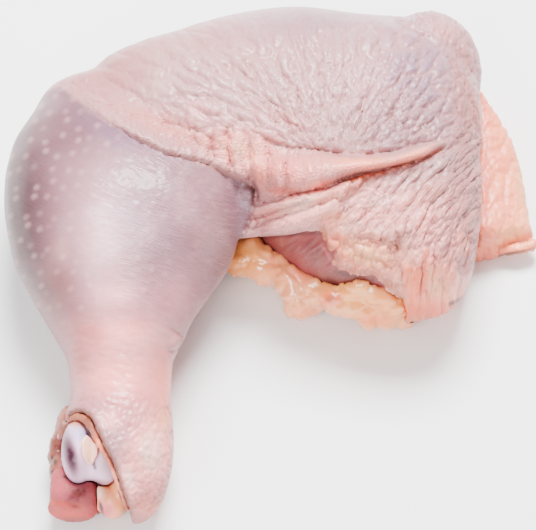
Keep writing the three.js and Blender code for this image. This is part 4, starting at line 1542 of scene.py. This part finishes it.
# %% [markdown]
# ### Fat
# Under the tear hangs soft fat in lobes: orange peach at the drumstick, glossy peach in the middle
# and yellow cream at the right. Each lobe is an egg on its sight line at its height over the table,
# melted into its neighbours, and all that would cut into skin or meat is taken away.

# %% Fat
FAT_LOBES = [  # picture point, height over the table and half sizes in mm
    ((236, 258), 7.5, (3.8, 4.4, 5.6)), ((250, 252), 9.5, (4.4, 4.4, 5.6)),
    ((254, 262), 8.0, (5.4, 4.6, 6.0)), ((266, 262), 9.5, (4.6, 4.4, 5.6)),
    ((279, 268), 10.0, (4.6, 4.2, 5.2)), ((290, 278), 10.5, (5.0, 4.6, 5.6)),
    ((299, 292), 8.0, (5.0, 5.0, 6.0)), ((298, 303), 5.6, (4.0, 4.2, 5.0)),
    ((310, 284), 11.0, (4.6, 4.0, 4.6)), ((322, 288), 12.0, (5.2, 4.6, 5.2)),
    ((326, 296), 8.6, (5.0, 3.4, 5.2)), ((340, 298), 12.5, (5.6, 5.0, 6.0)),
    ((350, 294), 15.0, (5.0, 4.0, 4.6)), ((358, 300), 13.0, (6.0, 5.6, 6.4)),
    ((366, 290), 17.0, (5.6, 3.6, 4.4)), ((372, 307), 9.6, (6.2, 5.6, 6.4)),
    ((384, 300), 14.0, (6.0, 4.6, 5.6)), ((388, 311), 8.0, (6.0, 4.4, 6.0)),
    ((400, 308), 9.0, (4.6, 3.4, 5.0)), ((312, 303), 5.4, (3.4, 2.8, 4.2)),
    ((331, 291), 14.0, (3.6, 2.8, 3.6)), ((345, 291), 16.5, (4.2, 3.0, 3.6)),
    ((357, 288), 19.5, (4.4, 3.2, 3.6)), ((367, 285), 21.5, (4.4, 3.2, 3.4)),
    ((404, 314), 7.0, (4.0, 3.6, 5.0)), ((409, 306), 10.0, (3.4, 3.2, 4.0)),
    ((378, 292), 19.5, (4.4, 3.6, 3.6)), ((391, 300), 16.5, (4.2, 3.6, 3.8))]
fat = np.full(tuple(COUNT), FAR, np.float32)
for (x, y), height, radii in FAT_LOBES:
    middle = at_height(x, y, height)
    block, points = block_of(middle - np.array(radii) - 4, middle + np.array(radii) + 4)
    fat[block] = join(fat[block], egg(points, middle, radii), 1.3)
fat = join(fat, soften(field_of("fat"), half=1) + 1.2, 1.5)
fat = np.maximum(fat, 0.25 - skin)
fat = np.maximum(fat, 0.25 - meat)
fat = np.maximum(fat, 0.05 - AXES[2])
fat_piece = mesh_of(fat, "edge_fat")
soft_fat = flesh_finish("soft_fat", (0.78, 0.34, 0.14, 1), 190.0, 0.16, grain_scale=600.0, grain_deep=0.12,
                        crease_shade_and_dot_colour=(0.66, 0.24, 0.10, 1), Roughness=0.25, Subsurface_Weight=0.35,
                        Subsurface_Radius=(1.0, 0.55, 0.22), Subsurface_Scale=0.002, Coat_Weight=0.8,
                        Coat_Roughness=0.06)
spots = picture(points_of(fat_piece)[0])
start_marks(fat_piece, spots * POINT, np.ones(len(spots)))
for cell, depth, seed in ((7.0, 0.9, 4.0), (2.6, 0.16, 5.0)):
    apply_tree(fat_piece, cushions, Cell=cell, Stretch=1.0, Depth=depth, Shoulder=0.5, Ragged=1.1,
               Tone=0.3, Seed=seed, Skin=soft_fat)
plain(fat_piece)
finish_layer(fat_piece, "fat", soft_fat, (255, 216, 196),
             [((244, 258), (22, 18, 0), (255, 215, 174), 0.95),
              ((272, 262), (8, 6, 0), (244, 196, 166), 0.5),
              ((300, 290), (18, 18, 0), (255, 217, 200), 0.85),
              ((300, 276), (14, 5, 20), (244, 192, 170), 0.6),
              ((350, 294), (30, 12, 15), (255, 214, 160), 0.85),
              ((385, 306), (20, 12, 0), (250, 204, 146), 0.8),
              ((304, 312), (10, 5, 0), (246, 200, 172), 0.6),
              ((374, 320), (16, 5, 0), (250, 186, 106), 0.8),
              ((331, 299), (8, 6, 0), (226, 160, 128), 0.75)])

# %% [markdown]
# ### Flap of back skin
# The flap at the right is skin with a thick bed of fat: peach pink, covered with small soft bumps,
# creamy at its free edge. Its lower edge curls, and a brown line is painted along the underside of
# the curl. The curl is a rod laid at the heights of the edge and melted into the flap.

# %% Flap
FLAP_VOXEL = 0.5
flap, flap_points, flap_first = fine_field("back_flap", FLAP_VOXEL)
flap = soften(flap, half=1) - 0.45
CURL = ((504, 252, 4.4), (514, 250, 4.8), (524, 248, 5.0), (532, 245, 4.8))
rim_line = np.array([at_height(x, y, height) for x, y, height in CURL])
print("rim to flap, mm:", value_at(flap, rim_line, flap_first, FLAP_VOXEL).round(2))
flap = join(flap, to_line(flap_points, rim_line, (0.9, 1.2, 1.5, 1.3)).astype(np.float32), 2.4)
flap = np.maximum(flap, 0.04 - value_at(body, flap_points).astype(np.float32))
flap = np.maximum(flap, 0.0 - flap_points[..., 2].astype(np.float32))


def mesh_fine(field, name, first, voxel):
    """mesh_of, for a field on a lattice of its own."""
    piece = mesh_of(field, name)
    places = points_of(piece)[0]
    places = (places / VOXEL - FIRST + first) * voxel
    piece.data.vertices.foreach_set("co", (places * MM).astype(np.float32).ravel())
    piece.data.update()
    return piece


flap_piece = mesh_fine(flap, "back_skin_flap", flap_first, FLAP_VOXEL)
flap_skin = flesh_finish("flap_skin", (0.92, 0.30, 0.20, 1), 160.0, 0.3, grain_scale=1100.0, grain_deep=0.2,
                         crease_shade_and_dot_colour=(0.70, 0.20, 0.12, 1), Roughness=0.42, Subsurface_Weight=0.35,
                         Subsurface_Radius=(1.0, 0.45, 0.25), Subsurface_Scale=0.002, Coat_Weight=0.12,
                         Coat_Roughness=0.2)
places, normals = points_of(flap_piece)
spots = picture(places)
start_marks(flap_piece, spots * POINT, ramp(normals[:, 2], -0.9, -0.5))
for cell, stretch, depth, seed in ((5.0, 1.5, 0.6, 5.0), (2.6, 1.0, 0.3, 6.0)):
    apply_tree(flap_piece, cushions, Cell=cell, Stretch=stretch, Depth=depth, Shoulder=0.45, Ragged=1.5,
               Tone=0.15, Seed=seed, Skin=flap_skin)
apply_tree(flap_piece, follicles, Spacing=3.6, Radius=0.9, Height=0.1, Scatter=1.0, Seed=2.0,
           Skin=flap_skin)
plain(flap_piece)
finish_layer(flap_piece, "back_flap", flap_skin, (250, 207, 190),
             [((485, 190), (5, 90, 0), (242, 196, 188), 0.8),
              ((522, 180), (7, 60, 0), (250, 222, 204), 0.7),
              ((512, 235), (20, 12, 0), (252, 220, 200), 0.7),
              ((490, 246), (10, 8, 0), (252, 196, 166), 0.6),
              ((492, 256), (10, 6, 0), (246, 196, 188), 0.8),
              ((500, 160), (12, 6, 20), (246, 200, 188), 0.4),
              ((508, 200), (14, 5, -10), (246, 202, 188), 0.4)],
             # brown along the underside of the curl
             [([(500, 256), (512, 253.5), (524, 251.5)], 1.5, (158, 96, 60), 0.95),
              ([(525, 251), (534, 248)], 1.3, (170, 110, 74), 0.8)])

# %% [markdown]
# ### End of the shin
# The knob is cartilage, bluish white with a groove between its two cheeks and a dark purple bruise.
# Its solid is softened, the groove is sunk along a line of picture points, and painted shade darkens it.

# %% Knob
HOCK_VOXEL = 0.3
knob, knob_points, knob_first = fine_field("shin_bone", HOCK_VOXEL)
knob = soften(knob, half=2)


def on_surface(x, y, field, first, voxel):
    """The point where a sight line meets a fine field."""
    way = sight((x, y))
    for depth in np.arange(REACH - 45, REACH + 30, 0.15):
        place = EYE + way * depth
        spot = np.rint(place / voxel - first).astype(int)
        if (spot >= 0).all() and (spot < field.shape).all() and field[tuple(spot)] < 0:
            return place
    return at_height(x, y, 10.0)


def furrow(field, points, first, voxel, line, depth, width):
    """Sinks a fine field along a line of picture points."""
    path = np.array([on_surface(x, y, field, first, voxel) for x, y in line])
    gap = to_line(points, path, [0.0] * len(path))
    return field + (depth * np.exp(-(gap / width) ** 2)).astype(np.float32)


knob = furrow(knob, knob_points, knob_first, HOCK_VOXEL, [(96, 470), (93, 458), (89, 446), (86, 432)],
              1.3, 1.1)
knob_piece = mesh_fine(knob, "shin_knob", knob_first, HOCK_VOXEL)
cartilage = flesh_finish("cartilage", (0.62, 0.46, 0.50, 1), 330.0, 0.12, grain_scale=700.0,
                         grain_deep=0.06, Roughness=0.38, Specular_IOR_Level=0.15,
                         Subsurface_Weight=0.1, Subsurface_Radius=(0.7, 0.6, 0.8),
                         Subsurface_Scale=0.001, Coat_Weight=0.06, Coat_Roughness=0.08)
start_marks(knob_piece, picture(points_of(knob_piece)[0]), np.zeros(len(knob_piece.data.vertices)))
finish_layer(knob_piece, "shin_bone", cartilage, (238, 230, 236),
             [((69, 452), (6, 22, -14), (168, 128, 142), 0.75),
              ((71, 456), (3.6, 11, -12), (118, 24, 76), 0.95),
              ((105, 464), (10, 14, 0), (222, 212, 216), 0.6),
              ((82, 434), (12, 9, 0), (218, 214, 226), 0.9),
              ((82, 422), (12, 5, 0), (214, 176, 166), 0.8),
              ((97, 484), (12, 4, 0), (206, 180, 186), 0.7)],
             # darker along the groove: painted shade of the groove
             [([(95, 468), (91, 452), (87, 434)], 1.3, (176, 158, 172), 0.7),
              ([(70, 422), (75, 416), (83, 416), (90, 423), (96, 434), (102, 446), (107, 456)], 2.6,
               (228, 188, 164), 0.8)])

# %% [markdown]
# ### Cut head of bone
# In front of the knob lies the cut head of bone, with a red spot of marrow. Small eggs make its
# corners, two furrows are sunk into it, and stains colour marrow, rim and shadows.

# %% Stump
stump, stump_points, stump_first = fine_field("bone_stump", HOCK_VOXEL)
stump = soften(stump, half=2)
for x, y, height, radii in ((62, 478, 12.5, (2.6, 2.6, 2.4)), (60, 508, 7.0, (3.2, 2.4, 3.0)),
                            (84, 510, 7.5, (3.4, 2.4, 3.0)), (66, 494, 13.0, (2.8, 2.6, 2.2))):
    stump = join(stump, egg(stump_points, at_height(x, y, height), radii), 1.2)
stump = furrow(stump, stump_points, stump_first, HOCK_VOXEL, [(66, 474), (69, 480)], 1.6, 0.8)
stump = furrow(stump, stump_points, stump_first, HOCK_VOXEL, [(52, 503), (68, 506), (90, 505)], 0.8, 0.8)
stump = np.maximum(stump, 0.05 - stump_points[..., 2].astype(np.float32))
stump_piece = mesh_fine(stump, "cut_bone", stump_first, HOCK_VOXEL)
marrow = flesh_finish("marrow", (0.55, 0.12, 0.12, 1), 420.0, 0.2, grain_scale=1300.0, grain_deep=0.12,
                      Roughness=0.6, Specular_IOR_Level=0.1, Subsurface_Weight=0.1,
                      Subsurface_Radius=(1.0, 0.3, 0.25), Subsurface_Scale=0.001, Coat_Weight=0.04,
                      Coat_Roughness=0.15)
spots = picture(points_of(stump_piece)[0])
start_marks(stump_piece, spots * POINT, np.ones(len(spots)))
apply_tree(stump_piece, cushions, Cell=1.5, Stretch=1.0, Depth=0.12, Shoulder=0.45, Ragged=0.9,
           Tone=0.4, Seed=7.0, Skin=marrow)
plain(stump_piece)
finish_layer(stump_piece, "bone_stump", marrow, (222, 160, 166),
             [((66, 480), (16, 8, 0), (224, 172, 182), 0.8), ((60, 492), (12, 9, 0), (226, 158, 168), 0.7),
              ((79, 493), (10, 6, -28), (140, 0, 48), 0.98), ((86, 500), (8, 5, 0), (206, 130, 134), 0.6),
              ((74, 506), (4.5, 2, 15), (190, 62, 72), 0.8), ((60, 504), (16, 3, 6), (242, 146, 126), 0.8),
              ((70, 514), (28, 6, 0), (236, 164, 158), 0.85), ((68, 477), (4, 1.6, 5), (92, 40, 52), 0.9),
              ((74, 521), (30, 3, 0), (206, 160, 156), 0.7)])

# %% [markdown]
# ### Gristle
# Beside the stump are small lobes of gristle and tendon, cream with a little pink. One furrow
# parts the lobes, with a dark line of painted shade in it.

# %% Gristle
gristle, gristle_points, gristle_first = fine_field("sinews", HOCK_VOXEL)
gristle = soften(gristle, half=1)
gristle = furrow(gristle, gristle_points, gristle_first, HOCK_VOXEL, [(103, 500), (101, 511)], 1.3, 0.7)
gristle_piece = mesh_fine(gristle, "gristle", gristle_first, HOCK_VOXEL)
sinew = flesh_finish("sinew", (0.66, 0.34, 0.26, 1), 380.0, 0.15, grain_scale=900.0, grain_deep=0.1,
                     Roughness=0.4, Specular_IOR_Level=0.3, Subsurface_Weight=0.2,
                     Subsurface_Radius=(1.0, 0.5, 0.3), Subsurface_Scale=0.001, Coat_Weight=0.2,
                     Coat_Roughness=0.1)
start_marks(gristle_piece, picture(points_of(gristle_piece)[0]), np.zeros(len(gristle_piece.data.vertices)))
finish_layer(gristle_piece, "sinews", sinew, (244, 220, 210),
             [((98, 492), (7, 7, 0), (246, 234, 230), 0.85),
              ((116, 496), (8, 18, -20), (244, 212, 184), 0.9),
              ((107, 511), (7, 8, 0), (232, 184, 188), 0.8),
              # dark line in the furrow: painted shade
              ((101, 507), (1.4, 5, -15), (150, 84, 76), 0.85)])

# %% [markdown]
# ### Tendon
# A small white flap of tendon lies over the knob. It is thin, so its lattice is the finest.

# %% Tendon
TENDON_VOXEL = 0.2
strip, _, strip_first = fine_field("tendon", TENDON_VOXEL)
strip = soften(strip, half=1)
strip_piece = mesh_fine(strip, "tendon_flap", strip_first, TENDON_VOXEL)
white_tendon = flesh_finish("white_tendon", (0.80, 0.52, 0.46, 1), 500.0, 0.3, streak=(1.0, 0.3, 0.5),
                            grain_scale=1500.0, grain_deep=0.1, Roughness=0.3, Subsurface_Weight=0.4,
                            Subsurface_Radius=(1.0, 0.7, 0.5), Subsurface_Scale=0.002, Coat_Weight=0.4,
                            Coat_Roughness=0.12)
start_marks(strip_piece, picture(points_of(strip_piece)[0]), np.zeros(len(strip_piece.data.vertices)))
finish_layer(strip_piece, "tendon", white_tendon, (244, 224, 218),
             [((98, 459), (4, 4, 0), (232, 200, 192), 0.6)])

# %% [markdown]
# ### Tissue round the knob
# Between knob and skin the photo shows torn tissue: a brown-orange rim along the cut, red-brown
# shreds and a pale lobe at the left, and a bit of pink under the knob. It is drawn as rods and eggs
# and kept clear of all that is there already.

# %% Tissue
TISSUE_VOXEL = 0.4
tissue_first = np.floor(np.array([-66.0, -78.0, -1.0]) / TISSUE_VOXEL).astype(int)
tissue_count = np.ceil(np.array([34.0, 44.0, 30.0]) / TISSUE_VOXEL).astype(int)
tissue_points = np.stack(np.meshgrid(*((tissue_first[i] + np.arange(tissue_count[i])) * TISSUE_VOXEL
                                       for i in range(3)), indexing="ij"), -1)
rim_path = drop(np.array([(64, 432), (66, 422), (71, 415), (78, 413), (85, 415), (91, 423), (96, 434),
                          (101, 445), (107, 456), (112, 467), (117, 479), (122, 492), (127, 506)],
                         float), body)[0]
tissue = to_line(tissue_points, rim_path - (0, 0, 1.3),
                 [0.8, 1.0, 1.3, 1.5, 1.4, 1.2, 0.9, 0.7, 0.6, 0.6, 0.6, 0.6, 0.6])
for x, y, height, radii in (
        (64, 434, 8.5, (2.2, 3.4, 3.4)), (59, 445, 8.0, (2.3, 3.8, 3.6)), (55, 457, 7.2, (1.9, 3.2, 3.2)),
        (61, 465, 8.6, (2.6, 3.2, 3.2)), (57, 474, 6.4, (2.0, 2.6, 3.0)), (73, 424, 8.0, (4.4, 5.0, 6.0)),
        (98, 500, 5.0, (1.8, 3.4, 4.4)), (70, 437, 7.0, (4.0, 6.0, 5.0)), (68, 470, 7.0, (3.4, 3.4, 5.0))):
    tissue = join(tissue, egg(tissue_points, at_height(x, y, height), radii), 1.0)
for field, first, voxel in ((skin, FIRST, VOXEL), (meat, FIRST, VOXEL), (knob, knob_first, HOCK_VOXEL),
                            (stump, stump_first, HOCK_VOXEL), (gristle, gristle_first, HOCK_VOXEL)):
    tissue = np.maximum(tissue, 0.2 - value_at(field, tissue_points, first, voxel))
tissue = np.maximum(tissue, 0.3 - tissue_points[..., 2]).astype(np.float32)
tissue_piece = mesh_fine(tissue, "hock_tissue", tissue_first, TISSUE_VOXEL)
spots = picture(points_of(tissue_piece)[0])
start_marks(tissue_piece, spots * POINT, np.ones(len(spots)))
apply_tree(tissue_piece, cushions, Cell=1.6, Stretch=1.6, Depth=0.25, Shoulder=0.45, Ragged=0.9,
           Tone=0.5, Seed=9.0, Skin=sinew)
plain(tissue_piece)
finish_layer(tissue_piece, None, sinew, (214, 160, 136),
             [((58, 446), (8, 14, 10), (172, 54, 46), 0.9),
              ((62, 466), (7, 7, 0), (226, 196, 198), 0.85),
              ((56, 476), (6, 4, 0), (214, 164, 158), 0.7),
              ((80, 415), (16, 6, 0), (228, 178, 140), 0.85),
              ((100, 444), (6, 14, -25), (246, 214, 204), 0.9),
              ((118, 480), (8, 26, -20), (246, 220, 212), 0.9),
              ((98, 498), (5, 12, 0), (222, 176, 172), 0.8)],
             [([(52, 458), (55, 462)], 2.0, (126, 60, 44), 0.8),
              ([(52, 472), (56, 474)], 1.6, (120, 56, 52), 0.7)])

# %% [markdown]
# ### Placing the skin
# The skin belongs to the one body like all other pieces, and stands in for its solid.

# %% Skin in its place
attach(skin_piece, "root")
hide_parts("skin")
print(skin_piece.name, "faces", len(skin_piece.data.polygons))

# %% [markdown]
# ## Sizes
# The boxes of the solids and of the dressed part are kept in metres, and their sizes printed in mm.
# The dressed part has to stay in the solids' box.

# %% Sizes and the end
shown_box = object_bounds()
sizes = {"cad": [list(corner) for corner in cad_box], "visual": [list(corner) for corner in shown_box]}
for name, (low, high) in sizes.items():
    print(name, "size in mm:", [round((b - a) / MM, 1) for a, b in zip(low, high)])
